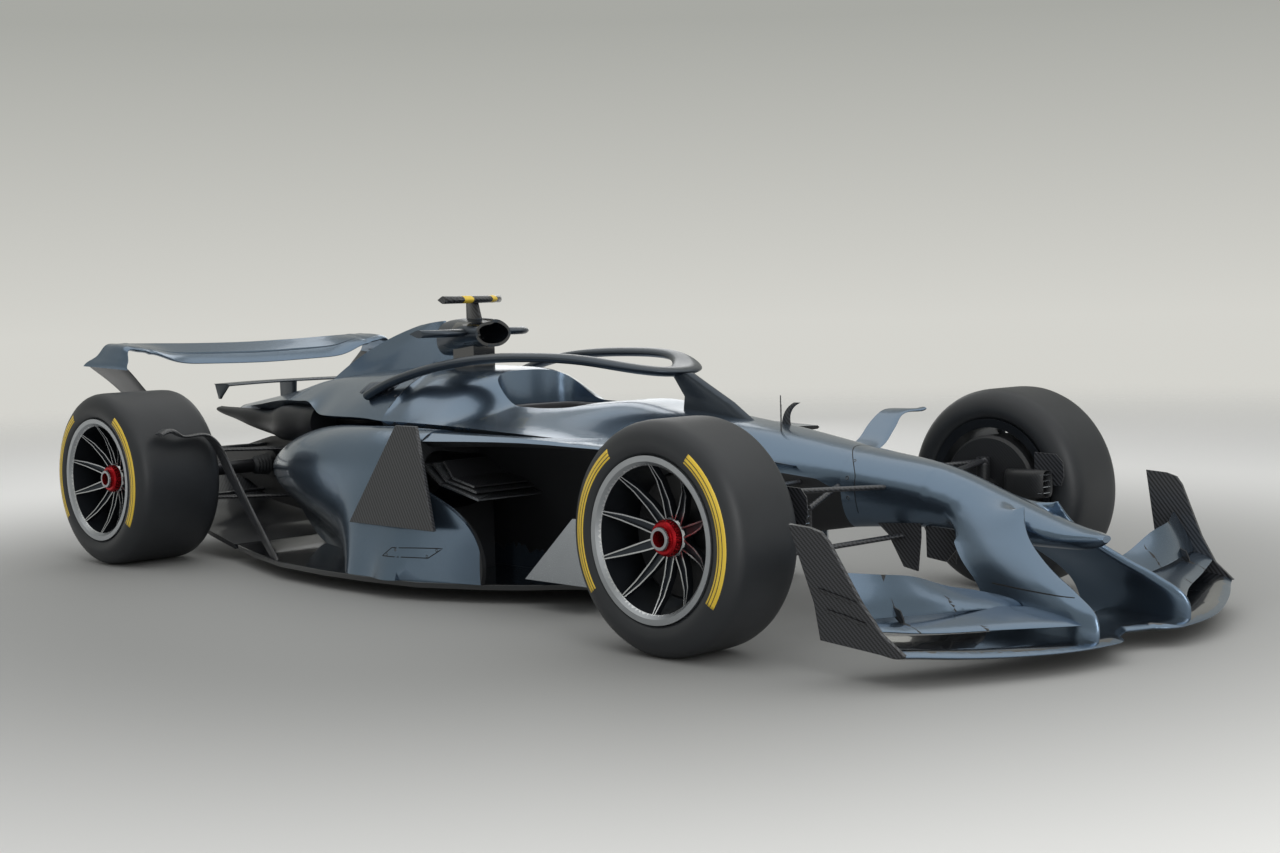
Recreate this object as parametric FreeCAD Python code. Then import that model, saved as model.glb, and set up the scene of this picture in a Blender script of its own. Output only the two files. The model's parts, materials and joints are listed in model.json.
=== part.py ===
import FreeCAD, Part
import math
import os

# Open wheel racing car, in millimetres, +X forwards, +Y to the car's left, +Z up.
# Places are measured from the ground under the middle of the wheelbase, and along the car
# the parts of the nose and tail are measured from their axle. At the end the whole car is
# slid along X, so that the origin is under the middle of its length.

# Running gear
wheelbase = 3316.0
overall_width = 2000.0
tyre_diameter = 720.0
front_tyre_width = 305.0
rear_tyre_width = 405.0
tyre_shoulder = 38.0
bead_radius = 232.0
flange_height = 23.0
flange_width = 20.0
rim_wall = 8.0
spoke_count = 10
spoke_tip_depth = 16.0
spoke_height = 26.0
spoke_groove = 9.0
hub_depth = 92.0
hub_radius = 62.0
hub_thickness = 42.0
nut_radius = 54.0
nut_sleeve_radius = 35.0
nut_height = 46.0
spindle_radius = 30.0
spindle_cover = 6.0
drum_radius = 196.0
drum_edge = 10.0
kingpin_inset = 332.0
kingpin_radius = 8.0
kingpin_leg_radius = 24.0
eye_radius = 23.0
eye_height = 26.0
arm_chord = 46.0
arm_thickness = 16.0
front_arm_rise = 108.0
rear_arm_rise = 92.0
rear_arm_drop = 114.0
rear_carrier_gap = 35.0
rear_carrier_thickness = 36.0
output_reach = 136.0
output_seat = 22.0
output_wall = 32.0

# Clearances
running_fit = 0.1
seat_gap = 0.3
moving_gap = 8.0

# Body
ride_height = 50.0
floor_thickness = 20.0
plank_thickness = 10.0
plank_half_width = 150.0
floor_half_width = 781.0
nose_root_reach = 32.0
nose_reach = 939.0
cockpit_front = 520.0
cockpit_rear = -40.0
cockpit_half_width = 212.0
cockpit_floor = 130.0
footwell_half_width = 130.0
footwell_front = 1050.0
footwell_low = 245.0
footwell_high = 480.0
steering_height = 565.0
column_radius = 16.0
column_seat = 30.0
tub_rear = -420.0
engine_length = 560.0
engine_half_width = 190.0
intake_front = -235.0
intake_half_width = 92.0
intake_low = 888.0
intake_high = 994.0
intake_wall = 12.0
tail_reach = 381.0
crash_box_reach = 642.0
jack_bore_reach = 612.0
jack_bore_height = 350.0
jack_bore_radius = 15.0
sidepod_front = 100.0
sidepod_rear = -1393.0
lip_front = 983.0
skirt_front = 440.0
panel_thickness = 12.0
halo_half_width = 262.0
halo_thickness = 36.0
pillar_thickness = 34.0
pylon_thickness = 54.0

# Wings
front_overhang = 1094.0
front_wing_half_width = 865.0
endplate_thickness = 12.0
endplate_lean = 9.5
plane_thickness = 26.0
flap_thickness = 16.0
rear_wing_reach = 217.0
rear_wing_chord = 185.0
rear_wing_half_width = 700.0
rear_wing_thickness = 24.0
slot_half_width = 560.0
beam_half_width = 365.0
vane_thickness = 6.0

# Places that follow from them
front_axle = wheelbase / 2
rear_axle = -wheelbase / 2
tyre_radius = tyre_diameter / 2
axle_height = tyre_radius
tyre_face = overall_width / 2
flange_radius = bead_radius + flange_height
kingpin_offset = tyre_face - kingpin_inset
drum_outer_depth = hub_depth + hub_thickness + moving_gap
rear_carrier = tyre_face - rear_tyre_width - rear_carrier_gap
spindle_end = tyre_face - hub_depth - spindle_cover
floor_top = ride_height + floor_thickness
nose_root = front_axle + nose_root_reach
engine_front = tub_rear - seat_gap
engine_rear = engine_front - engine_length
diffuser_front = rear_axle + 358.0
length_shift = -((front_axle + front_overhang) + (rear_axle - crash_box_reach)) / 2

X = FreeCAD.Vector(1, 0, 0)
Y = FreeCAD.Vector(0, 1, 0)
Z = FreeCAD.Vector(0, 0, 1)
RIGHT, LEFT = -1, 1


# Drawing helpers
def at(x, y, z):
    return FreeCAD.Vector(x, y, z)


def from_axle(axle, shape):
    """Places a shape that was drawn with its axle at x = 0."""
    shape.translate(X * axle)
    return shape


def mirrored(shape):
    return shape.mirror(at(0, 0, 0), Y)


def outward(shape):
    """Turns a solid inside out where its sections' order left its faces inwards."""
    if shape.Volume < 0:
        shape.reverse()
    return shape


def fused(shapes):
    whole = shapes[0]
    for shape in shapes[1:]:
        whole = whole.fuse(shape)
    return whole.removeSplitter()


def clear_of(shape, *others):
    """Takes the room of its neighbours out of a piece and keeps its largest solid."""
    for other in others:
        shape = shape.cut(other)
    return max(shape.Solids, key=lambda solid: solid.Volume)


def polygon(points):
    return Part.makePolygon(points + [points[0]])


def spline(points):
    curve = Part.BSplineCurve()
    curve.interpolate(points)
    return curve.toShape()


def closed_curve(points):
    curve = Part.BSplineCurve()
    curve.interpolate(points, PeriodicFlag=True)
    return Part.Wire([curve.toShape()])


def oval(x, y, z, half_width, half_height):
    """A smooth oval across the car."""
    points = []
    for step in range(8):
        angle = math.pi / 4 * step
        points.append(at(x, y + half_width * math.sin(angle), z + half_height * math.cos(angle)))
    return closed_curve(points)


def hull_section(x, upper, lower):
    """A section across the body: the upper half-profile runs from the middle out to the lip,
    the lower one from there to the corner of the flat bottom, all as (y, z)."""
    top = [at(x, -y, z) for y, z in reversed(upper)] + [at(x, y, z) for y, z in upper[1:]]
    left = [at(x, y, z) for y, z in [upper[-1]] + lower]
    right = [at(x, -y, z) for y, z in reversed([upper[-1]] + lower)]
    bottom = Part.LineSegment(left[-1], right[0]).toShape()
    return Part.Wire([spline(top), spline(left), bottom, spline(right)])


def flank_section(x, skin):
    """A section of the right sidepod: its skin runs from the inner top over the outside to the
    bottom's outer corner, and a flat bottom and a flat inner wall close it."""
    points = [at(x, -y, z) for y, z in skin]
    inner_foot = at(x, -skin[0][0], skin[-1][1])
    bottom = Part.LineSegment(points[-1], inner_foot).toShape()
    wall = Part.LineSegment(inner_foot, points[0]).toShape()
    return Part.Wire([spline(points), bottom, wall])


def ring_section(x, ring):
    return closed_curve([at(x, -y, z) for y, z in ring])


def loft(wires, ruled=False, degree=3):
    return outward(Part.makeLoft(wires, True, ruled, False, degree))


def grades(xs, values):
    """Slopes at the given values that keep a curve through them from swinging out."""
    steps = [(b - a) / (q - p) for p, q, a, b in zip(xs, xs[1:], values, values[1:])]
    inner = [2 * a * b / (a + b) if a * b > 0 else 0.0 for a, b in zip(steps, steps[1:])]
    return steps[:1] + inner + steps[-1:]


def filled(stations, step):
    """Adds (x, points) stations in between, so that a smooth skin through all of them stays taut."""
    size = len(stations[0][1][0])
    xs = [x for x, points in stations]
    columns = list(zip(*[[value for point in points for value in point] for x, points in stations]))
    slopes = [grades(xs, column) for column in columns]
    result = []
    for index in range(len(xs) - 1):
        reach = xs[index + 1] - xs[index]
        parts = max(1, round(abs(reach) / step))
        for part in range(parts):
            share = part / parts
            values = []
            for column, slope in zip(columns, slopes):
                rise = column[index + 1] - column[index]
                start = slope[index] * reach - rise
                end = rise - slope[index + 1] * reach
                bend = share * (1 - share) * (start * (1 - share) + end * share)
                values.append(column[index] + rise * share + bend)
            points = [tuple(values[first:first + size]) for first in range(0, len(values), size)]
            result.append((xs[index] + reach * share, points))
    return result + [stations[-1]]


def hull(stations, step):
    """A body through (x, upper, lower) stations of hull sections."""
    lip = len(stations[0][1])
    even = filled([(x, upper + lower) for x, upper, lower in stations], step)
    return loft([hull_section(x, points[:lip], points[lip:]) for x, points in even], False, 5)


def foil(lead, trail, up, thickness):
    """An aerofoil's outline between its leading and trailing points."""
    chord = trail - lead
    shares = ((1.0, 0.06), (0.62, 0.36), (0.24, 0.5), (0.03, 0.2))
    upper = [lead + chord * along + up * (thickness * part) for along, part in shares]
    lower = [lead + chord * along - up * (thickness * part) for along, part in shares]
    blunt_end = Part.LineSegment(lower[0], upper[0]).toShape()
    return Part.Wire([spline(upper + [lead] + lower[::-1]), blunt_end])


def foils(stations, up, thickness, step=None, ruled=False, degree=3):
    """A wing through (leading, trailing) points; a third entry is a station's own up. With a
    step, stations at about that distance are added in between."""
    rows = []
    place = 0.0
    for lead, trail, *own in stations:
        if rows:
            place += at(*lead).distanceToPoint(at(*rows[-1][1][0]))
        rows.append((place, [lead, trail, tuple(own[0] if own else up)]))
    if step:
        rows = filled(rows, step)
    wires = [foil(at(*lead), at(*trail), at(*direction).normalize(), thickness)
             for place, (lead, trail, direction) in rows]
    return loft(wires, ruled, degree)


def arm(start, end, chord, thickness):
    """A faired suspension arm between two points, its chord along the car."""
    half = X * (chord / 2)
    up = (end - start).normalize().cross(X).normalize()
    return loft([foil(point + half, point - half, up, thickness) for point in (start, end)])


def extruded(points, direction):
    return outward(Part.Face(polygon(points)).extrude(direction))


def plate(outline, side, inner, thickness):
    """An upright plate of (x, z) corners, from its inner face outwards."""
    return extruded([at(x, side * inner, z) for x, z in outline], Y * (side * thickness))


def cylinder_y(radius, x, ends, z):
    low, high = sorted(ends)
    return Part.makeCylinder(radius, high - low, at(x, low, z), Y)


def write(name, shapes):
    if not isinstance(shapes, list):
        shapes = [shapes]
    moved = []
    for shape in shapes:
        for solid in shape.Solids:
            solid = solid.copy()
            solid.translate(X * length_shift)
            moved.append(solid)
    Part.makeCompound(moved).exportStep("parts/" + name + ".step")
    print(name, len(moved), "solids", round(sum(solid.Volume for solid in moved) / 1e6, 2), "litres")


# Wheels
def revolved(profile, axle, side):
    """Turns an outline of (distance in from the tyre's outer face, radius) about the axle."""
    points = [at(axle, side * (tyre_face - depth), axle_height + radius) for depth, radius in profile]
    face = Part.Face(polygon(points))
    return outward(face.revolve(at(axle, 0, axle_height), Y, 360))


def tyre(axle, width, side):
    edge = [
        (flange_width + 10.0, bead_radius + seat_gap),
        (flange_width + 2.0, flange_radius + seat_gap),
        (9.0, flange_radius + 2.0),
        (0.0, flange_radius + 36.0),
        (8.0, tyre_radius - tyre_shoulder),
        (tyre_shoulder * 0.45, tyre_radius - tyre_shoulder * 0.24),
        (tyre_shoulder * 1.1, tyre_radius),
    ]
    other_edge = [(width - depth, radius) for depth, radius in reversed(edge)]
    return revolved(edge + other_edge, axle, side)


def spoke(axle, side, angle):
    """One twin spoke: a dished leaf that narrows to the flange, with a groove between two ribs."""
    root = hub_radius - 8.0
    reach = bead_radius - rim_wall + 3.0
    sections = []
    for along, half, depth in ((0.0, 17.0, hub_depth + 3.0), (0.35, 15.5, hub_depth - 12.0),
                               (0.7, 11.5, hub_depth - 38.0), (1.0, 6.0, spoke_tip_depth)):
        radius = root + (reach - root) * along
        rib = min(5.0, half - 2.0)
        outline = [
            (-half, 0.0), (rib - half, 0.0), (rib - half, spoke_groove), (half - rib, spoke_groove),
            (half - rib, 0.0), (half, 0.0), (half - 2.0, spoke_height), (2.0 - half, spoke_height),
        ]
        sections.append(polygon([
            at(axle + across, side * (tyre_face - depth - back), axle_height + radius)
            for across, back in outline
        ]))
    leaf = loft(sections, True)
    leaf.rotate(at(axle, 0, axle_height), Y, angle)
    return leaf


def rim(axle, width, side):
    inner = bead_radius - rim_wall
    lip = 6.0
    barrel = revolved(
        [
            (lip, flange_radius),
            (flange_width, flange_radius),
            (flange_width + lip, bead_radius),
            (width - flange_width - lip, bead_radius),
            (width - flange_width, flange_radius),
            (width - lip, flange_radius),
            (width - 2 * lip, inner),
            (flange_width, inner),
            (lip, flange_radius - 18.0),
        ],
        axle,
        side,
    )
    bore = spindle_radius + running_fit
    hub = revolved(
        [
            (hub_depth, bore),
            (hub_depth, hub_radius - 6.0),
            (hub_depth + 6.0, hub_radius),
            (hub_depth + hub_thickness, hub_radius),
            (hub_depth + hub_thickness, bore),
        ],
        axle,
        side,
    )
    leaves = [spoke(axle, side, 360.0 / spoke_count * index) for index in range(spoke_count)]
    return fused([barrel, hub] + leaves)


def nut(axle, side):
    """The single central wheel nut: a wide collar and a hollow sleeve."""
    bore = spindle_radius - 5.0
    seat = hub_depth - seat_gap
    return revolved(
        [
            (hub_depth - nut_height, bore),
            (hub_depth - nut_height, nut_sleeve_radius),
            (hub_depth - nut_height + 16.0, nut_sleeve_radius + 4.0),
            (hub_depth - nut_height + 16.0, nut_radius - 6.0),
            (hub_depth - nut_height + 22.0, nut_radius),
            (seat, nut_radius),
            (seat, bore),
        ],
        axle,
        side,
    )


def wheel(place, axle, width, side, hand):
    write(place + "_tyre_" + hand, tyre(axle, width, side))
    write(place + "_rim_" + hand, rim(axle, width, side))
    write(place + "_wheel_nut_" + hand, nut(axle, side))


# Suspension and hubs
def drum(axle, side, inner_depth, bore):
    return revolved(
        [
            (inner_depth, bore),
            (inner_depth, drum_radius - drum_edge),
            (inner_depth - drum_edge, drum_radius),
            (drum_outer_depth + drum_edge, drum_radius),
            (drum_outer_depth, drum_radius - drum_edge),
            (drum_outer_depth, bore),
        ],
        axle,
        side,
    )


def knuckle(side):
    """Front upright: kingpin leg, brake drum and spindle in one steered piece."""
    y = side * kingpin_offset
    top = axle_height + front_arm_rise
    low = axle_height - front_arm_rise
    half_eye = eye_height / 2
    leg_low = low + half_eye + seat_gap
    leg_top = top - half_eye - seat_gap
    leg = Part.makeCylinder(kingpin_leg_radius, leg_top - leg_low, at(front_axle, y, leg_low), Z)
    pin = Part.makeCylinder(kingpin_radius, top - low + eye_height, at(front_axle, y, low - half_eye), Z)
    inner_depth = kingpin_inset - eye_radius - moving_gap + 1.0
    bridge = cylinder_y(46.0, front_axle, (y, side * (tyre_face - inner_depth + 20.0)), axle_height)
    spindle = cylinder_y(spindle_radius, front_axle, (y, side * spindle_end), axle_height)
    return fused([leg, pin, drum(front_axle, side, inner_depth, spindle_radius - 10.0), bridge, spindle])


def front_arms(side):
    """The two wishbones of one front wheel; the lower one carries the push rod."""
    wishbones = []
    for height, fore, aft, root_rise in (
        (axle_height + front_arm_rise, 205.0, -165.0, 95.0),
        (axle_height - front_arm_rise, 235.0, -235.0, -60.0),
    ):
        end = at(front_axle, side * kingpin_offset, height)
        eye = Part.makeCylinder(eye_radius, eye_height, end - Z * (eye_height / 2), Z)
        joint = at(front_axle, side * (kingpin_offset - 14.0), height)
        legs = [eye]
        for reach in (fore, aft):
            root = at(front_axle + reach, side * 90.0, axle_height + root_rise)
            legs.append(arm(root, joint, arm_chord, arm_thickness))
        if root_rise < 0:
            foot = at(front_axle, side * (kingpin_offset - 70.0), height)
            rocker = at(front_axle + 20.0, side * 90.0, axle_height + 118.0)
            legs.append(arm(rocker, foot, 30.0, arm_thickness))
        hole = Part.makeCylinder(kingpin_radius + running_fit, 60.0, end - Z * 30, Z)
        wishbones.append(fused(legs).cut(hole))
    return wishbones


def rear_arms(side):
    wishbones = []
    for height, fore, aft, root_rise in (
        (axle_height + rear_arm_rise, 250.0, -120.0, 80.0),
        (axle_height - rear_arm_drop, 270.0, -150.0, -125.0),
    ):
        end = at(rear_axle, side * (rear_carrier + 12.0), height)
        legs = []
        for reach in (fore, aft):
            root = at(rear_axle + reach, side * 80.0, axle_height + root_rise)
            legs.append(arm(root, end, arm_chord, arm_thickness))
        wishbones.append(fused(legs))
    return wishbones


def rear_hub_carrier(side):
    half_height = max(rear_arm_rise, rear_arm_drop) + 22.0
    inner = side * rear_carrier
    outer = side * (rear_carrier + rear_carrier_thickness)
    block = Part.makeBox(100.0, rear_carrier_thickness, 2 * half_height,
                         at(rear_axle - 50.0, min(inner, outer), axle_height - half_height))
    inner_depth = rear_tyre_width + rear_carrier_gap - rear_carrier_thickness
    bore = spindle_radius + running_fit
    hole = cylinder_y(bore, rear_axle, (inner - side, outer + side), axle_height)
    return fused([block.cut(hole), drum(rear_axle, side, inner_depth, bore)])


def driveshaft(side):
    ends = (side * (output_reach - output_seat), side * spindle_end)
    return cylinder_y(spindle_radius, rear_axle, ends, axle_height)


# Survival cell and nose
nose_root_section = ([(0, 566), (95, 546), (145, 498), (152, 462)], [(146, 400), (118, 340), (80, 310)])
tub_rear_section = [(0, 812), (160, 798), (290, 742), (430, 613)]


def cockpit_plan():
    """The cockpit's opening seen from above."""
    side = [
        (cockpit_front - 16.0, 120.0),
        (cockpit_front - 66.0, cockpit_half_width - 24.0),
        (cockpit_front - 170.0, cockpit_half_width),
        (cockpit_rear + 130.0, cockpit_half_width),
        (cockpit_rear + 40.0, cockpit_half_width - 34.0),
        (cockpit_rear, 90.0),
    ]
    left = [at(x, y, cockpit_floor) for x, y in side]
    right = [at(x, -y, cockpit_floor) for x, y in reversed(side)]
    return left + right + [at(cockpit_front, 0, cockpit_floor)]


def survival_cell():
    foot = ride_height
    tub = [(350, 480), (276, 300), (258, foot)]
    stations = [
        (nose_root,) + nose_root_section,
        (front_axle - 332, [(0, 621), (110, 606), (178, 548), (205, 500)],
         [(190, 400), (160, 300), (110, 250)]),
        (front_axle - 578, [(0, 650), (130, 636), (220, 580), (262, 528)],
         [(240, 410), (200, 270), (150, 190)]),
        (834, [(0, 674), (160, 662), (258, 612), (380, 567)], [(310, 440), (240, 260), (200, 120)]),
        (640, [(0, 698), (180, 684), (276, 638), (430, 584)], [(342, 465), (256, 285), (236, 80)]),
        (450, [(0, 686), (206, 674), (280, 646), (450, 594)], tub),
        (290, [(0, 678), (208, 671), (282, 650), (452, 600)], tub),
        (140, [(0, 686), (206, 682), (284, 660), (452, 606)], tub),
        (40, [(0, 762), (190, 746), (290, 692), (450, 609)], tub),
        (-60, [(0, 800), (190, 783), (300, 718), (446, 611)], tub),
        (-240, [(0, 808), (180, 796), (298, 734), (440, 613)], tub),
        (tub_rear, tub_rear_section, tub),
    ]
    shell = hull(stations, 80.0)
    corner = at(-wheelbase / 2, -overall_width / 2, 0)
    under = Part.makeBox(wheelbase, overall_width, floor_top + seat_gap, corner)
    well = Part.Face(closed_curve(cockpit_plan())).extrude(Z * 900)
    footwell = Part.makeBox(footwell_front - cockpit_front + 120.0, 2 * footwell_half_width,
                            footwell_high - footwell_low,
                            at(cockpit_front - 120.0, -footwell_half_width, footwell_low))
    bore = Part.makeCylinder(column_radius + running_fit, column_seat + 40.0,
                             at(cockpit_front - 30.0, 0, steering_height), X)
    return shell.cut(under).cut(well).cut(footwell).cut(bore)


def nose_cone():
    """The nose with its two wide pylons, which sweep out and forwards down to the wing."""
    stations = [
        (nose_root_reach + seat_gap,) + nose_root_section,
        (316, [(0, 527), (76, 510), (122, 462), (130, 420)], [(124, 380), (104, 346), (60, 328)]),
        (638, [(0, 424), (58, 412), (92, 384), (99, 360)], [(92, 326), (70, 306), (36, 296)]),
        (822, [(0, 366), (40, 360), (66, 344), (70, 332)], [(64, 312), (48, 300), (26, 294)]),
        (nose_reach, [(0, 341), (12, 339), (20, 334), (22, 330)], [(20, 326), (14, 322), (8, 320)]),
    ]
    pieces = [hull(stations, 110.0)]
    for side in (RIGHT, LEFT):
        levels = [
            (392, 702, 84, 430),
            (452, 742, 128, 350),
            (542, 862, 186, 260),
            (632, 992, 224, 190),
            (672, 1067, 244, 128),
            (682, 1070, 248, ride_height + 10.0),
        ]
        stations = [((front, side * y, z), (back, side * y, z)) for back, front, y, z in levels]
        pieces.append(foils(stations, Y, pylon_thickness, 50.0, degree=5))
    return from_axle(front_axle, fused(pieces))


# Front wing
def main_plane():
    """The lowest wing: one blade each side, joined by a narrow middle that points forwards."""
    root = (100, 1042, 60, 792, 70)
    plan = [
        root,
        (185, front_overhang, 60, 782, 72),
        (360, 1077, 62, 762, 80),
        (600, 994, 70, 692, 95),
        (front_wing_half_width, 862, 92, 582, 120),
    ]
    middle = [(-100,) + root[1:], (0, 1004, 60, 812, 68), root]
    wires = [foil(at(lx, y, lz), at(tx, y, tz), Z, plane_thickness) for y, lx, lz, tx, tz in middle]
    pieces = [loft(wires, True)]
    for side in (RIGHT, LEFT):
        stations = [((lx, side * y, lz), (tx, side * y, tz)) for y, lx, lz, tx, tz in plan]
        pieces.append(foils(stations, Z, plane_thickness, 110.0))
    return from_axle(front_axle, fused(pieces))


def wing_flaps(side):
    """The two flaps of one side; curved brackets carry the upper one on the lower."""
    lower = [
        (210, 1052, 114, 880, 140),
        (320, 1010, 118, 830, 158),
        (500, 920, 124, 742, 170),
        (700, 846, 134, 664, 178),
        (front_wing_half_width + 16, 782, 156, 590, 196),
    ]
    upper = [
        (262, 816, 150, 740, 176),
        (350, 812, 156, 729, 198),
        (500, 796, 166, 715, 232),
        (600, 780, 170, 708, 264),
        (700, 758, 175, 703, 284),
        (front_wing_half_width + 20, 712, 182, 634, 306),
    ]
    flaps = []
    for plan, degree in ((lower, 5), (upper, 3)):
        stations = [((lx, side * y, lz), (tx, side * y, tz)) for y, lx, lz, tx, tz in plan]
        flaps.append(foils(stations, Z, flap_thickness, 90.0, degree=degree))
    brackets = []
    for y, x in ((542, 800), (752, 730)):
        hook = [(x - 30, 196), (x, 206), (x + 26, 196), (x + 38, 172), (x + 42, 126),
                (x + 28, 130), (x + 22, 164), (x - 4, 186)]
        brackets.append(plate(hook, side, y, vane_thickness))
    return from_axle(front_axle, flaps[0]), from_axle(front_axle, fused([flaps[1]] + brackets))


def endplate(side):
    """The plate at the wing's end, leaning outwards at its top."""
    outline = [
        (502, 446), (580, 441), (620, 430), (644, 404), (679, 337), (734, 235), (794, 151), (866, 98),
        (840, 88), (566, 110), (560, 220), (541, 291),
    ]
    shape = plate(outline, side, front_wing_half_width, endplate_thickness)
    shape.rotate(at(0, side * front_wing_half_width, 100), X, -side * endplate_lean)
    return from_axle(front_axle, shape)


# Halo
def halo():
    """The cockpit guard: a hoop that widens to a flat band at its front, and a blade-shaped pillar."""
    path = [
        (-620, 345, 700, 50),
        (-500, 325, 752, 60),
        (-300, 298, 806, 66),
        (0, 268, 850, 66),
        (317, halo_half_width, 861, 66),
        (540, 232, 852, 70),
        (680, 162, 828, 96),
        (755, 82, 810, 132),
        (775, 0, 804, 146),
    ]
    wires = []
    for index, (x, y, z, wide) in enumerate(path):
        before = at(*path[max(index - 1, 0)][:3])
        beyond = path[index + 1] if index + 1 < len(path) else (path[-2][0], -path[-2][1], path[-2][2])
        along = (at(*beyond[:3]) - before).normalize()
        out = along.cross(Z).normalize()
        up = out.cross(along).normalize()
        ring = []
        for step in range(8):
            angle = math.pi / 4 * step
            ring.append(at(x, y, z) + out * (wide / 2 * math.cos(angle))
                        + up * (halo_thickness / 2 * math.sin(angle)))
        wires.append(closed_curve(ring))
    half = loft(wires)
    pillar = foils(
        [
            ((1236, 0, 600), (826, 0, 640)),
            ((1080, 0, 700), (836, 0, 715)),
            ((880, 0, 800), (770, 0, 800)),
        ],
        Y,
        pillar_thickness,
        ruled=True,
    )
    return fused([half, mirrored(half), pillar])


# Engine cover and airbox
def engine_cover():
    """The upper body behind the cockpit: it narrows to the tail under a tall fin."""
    stations = [
        (engine_front, tub_rear_section, [(400, 603), (340, 596), (280, 592)]),
        (-595, [(0, 806), (150, 794), (285, 732), (404, 618)], [(374, 608), (320, 598), (260, 590)]),
        (-914, [(0, 784), (115, 770), (238, 702), (350, 614)], [(320, 604), (270, 596), (210, 588)]),
        (rear_axle + 608, [(0, 771), (100, 757), (205, 697), (300, 624)],
         [(272, 612), (225, 600), (170, 588)]),
        (rear_axle + 487, [(0, 758), (88, 745), (172, 704), (258, 660)],
         [(232, 644), (185, 620), (130, 596)]),
        (rear_axle + 328, [(0, 736), (74, 726), (146, 696), (226, 658)],
         [(200, 640), (156, 612), (104, 588)]),
        (rear_axle + 181, [(0, 704), (62, 696), (122, 676), (196, 652)],
         [(172, 634), (130, 604), (84, 578)]),
        (rear_axle - 42, [(0, 664), (46, 657), (92, 644), (146, 628)], [(128, 610), (94, 586), (58, 566)]),
        (rear_axle - 212, [(0, 637), (34, 632), (68, 624), (106, 612)], [(92, 598), (66, 582), (40, 568)]),
        (rear_axle - tail_reach, [(0, 610), (16, 608), (30, 602), (42, 594)],
         [(36, 586), (26, 580), (14, 576)]),
    ]
    cover = hull(stations, 100.0)
    fin = foils(
        [
            ((-470, 0, 780), (-1420, 0, 690)),
            ((-480, 0, 900), (-1030, 0, 880)),
            ((-540, 0, 992), (-700, 0, 975)),
        ],
        Y,
        40.0,
    )
    return fused([cover, fin])


def tail_duct(side):
    """The outlet beside the gearbox: it bulges from under the cover and closes to a point."""
    stations = [
        (508, [(196, 566), (66, 74)]),
        (258, [(190, 556), (70, 78)]),
        (18, [(122, 549), (62, 54)]),
        (-160, [(140, 570), (46, 34)]),
        (-352, [(160, 598), (24, 12)]),
    ]
    sections = [oval(x, side * y, z, half_width, half_height)
                for x, ((y, z), (half_width, half_height)) in filled(stations, 90.0)]
    return from_axle(rear_axle, loft(sections))


def airbox():
    """The intake over the driver's head, on its dark neck."""
    middle = (intake_low + intake_high) / 2
    half_height = (intake_high - intake_low) / 2
    box = loft([
        oval(intake_front, 0, middle, intake_half_width, half_height),
        oval(intake_front - 95, 0, middle - 1, intake_half_width + 6, half_height + 8),
        oval(intake_front - 245, 0, middle - 18, intake_half_width - 26, half_height + 20),
        oval(intake_front - 300, 0, middle - 24, intake_half_width - 40, half_height + 14),
    ])
    neck = Part.makeBox(130.0, 110.0, intake_low - 750.0, at(intake_front - 190.0, -55, 760))
    throat_width = intake_half_width - intake_wall
    throat_height = half_height - intake_wall
    throat = loft([
        oval(intake_front + 30, 0, middle, throat_width + 4, throat_height + 4),
        oval(intake_front - 20, 0, middle, throat_width - 4, throat_height - 3),
        oval(intake_front - 150, 0, middle - 6, throat_width - 24, throat_height - 6),
    ])
    return fused([box, neck]).cut(throat)


# Sidepods
def sidepod(side):
    """The cooling duct beside the tub: its top runs forwards as a shelf over the inlet, and its
    skin runs forwards below as a skirt."""
    foot = floor_top + seat_gap
    rings = [
        (sidepod_front,
         [(300, 584), (450, 587), (590, 597), (655, 545), (692, 420), (728, 270), (760, 130), (776, foot)]),
        (-171, [(300, 586), (450, 590), (590, 599), (658, 545), (696, 420), (730, 270), (762, 130),
                (776, foot)]),
        (-450, [(300, 588), (440, 591), (560, 592), (650, 535), (680, 410), (662, 270), (610, 140),
                (570, foot)]),
        (-743, [(290, 582), (400, 582), (510, 568), (606, 500), (626, 390), (560, 260), (440, 145),
                (395, foot)]),
        (-1000, [(250, 560), (340, 545), (440, 520), (520, 455), (526, 370), (440, 260), (340, 160),
                 (300, foot)]),
        (-1220, [(210, 500), (270, 490), (350, 462), (404, 410), (400, 350), (344, 280), (290, 220),
                 (262, 180)]),
        (sidepod_rear,
         [(190, 430), (220, 428), (255, 416), (285, 392), (284, 362), (262, 334), (240, 318), (222, 310)]),
    ]
    body = loft([flank_section(x, skin) for x, skin in filled(rings, 110.0)])
    lips = [
        (lip_front, [(330, 582), (450, 582), (556, 578), (566, 571), (556, 565), (450, 562), (330, 562)]),
        (600, [(330, 586), (450, 586), (566, 592), (584, 578), (566, 562), (450, 556), (330, 552)]),
        (sidepod_front - 60, [(330, 588), (450, 588), (588, 596), (640, 566), (590, 540), (450, 530),
                              (330, 530)]),
    ]
    shelf = loft([polygon([at(x, -y, z) for y, z in ring]) for x, ring in filled(lips, 130.0)], True)
    skirt = loft([
        polygon([at(60, -outer, z), at(reach, -outer + lean, z), at(reach, -outer + lean + wall, z),
                 at(60, -outer + wall, z)])
        for z, outer, reach, lean, wall in (
            (foot, 764, skirt_front, 112, 18),
            (190, 740, skirt_front, 88, 18),
            (280, 722, skirt_front - 55, 60, 18),
            (360, 704, skirt_front - 195, 30, 18),
            (410, 690, skirt_front - 325, 8, 18),
        )
    ])
    inlet = loft([
        ring_section(sidepod_front + 60,
                     [(340, 520), (500, 526), (612, 518), (640, 440), (620, 330), (500, 300),
                      (350, 330), (330, 430)]),
        ring_section(sidepod_front - 220,
                     [(380, 500), (500, 505), (580, 495), (600, 440), (580, 360), (500, 340),
                      (390, 360), (370, 430)]),
    ])
    pod = fused([body, shelf, skirt]).cut(inlet)
    return pod if side == RIGHT else mirrored(pod)


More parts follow.
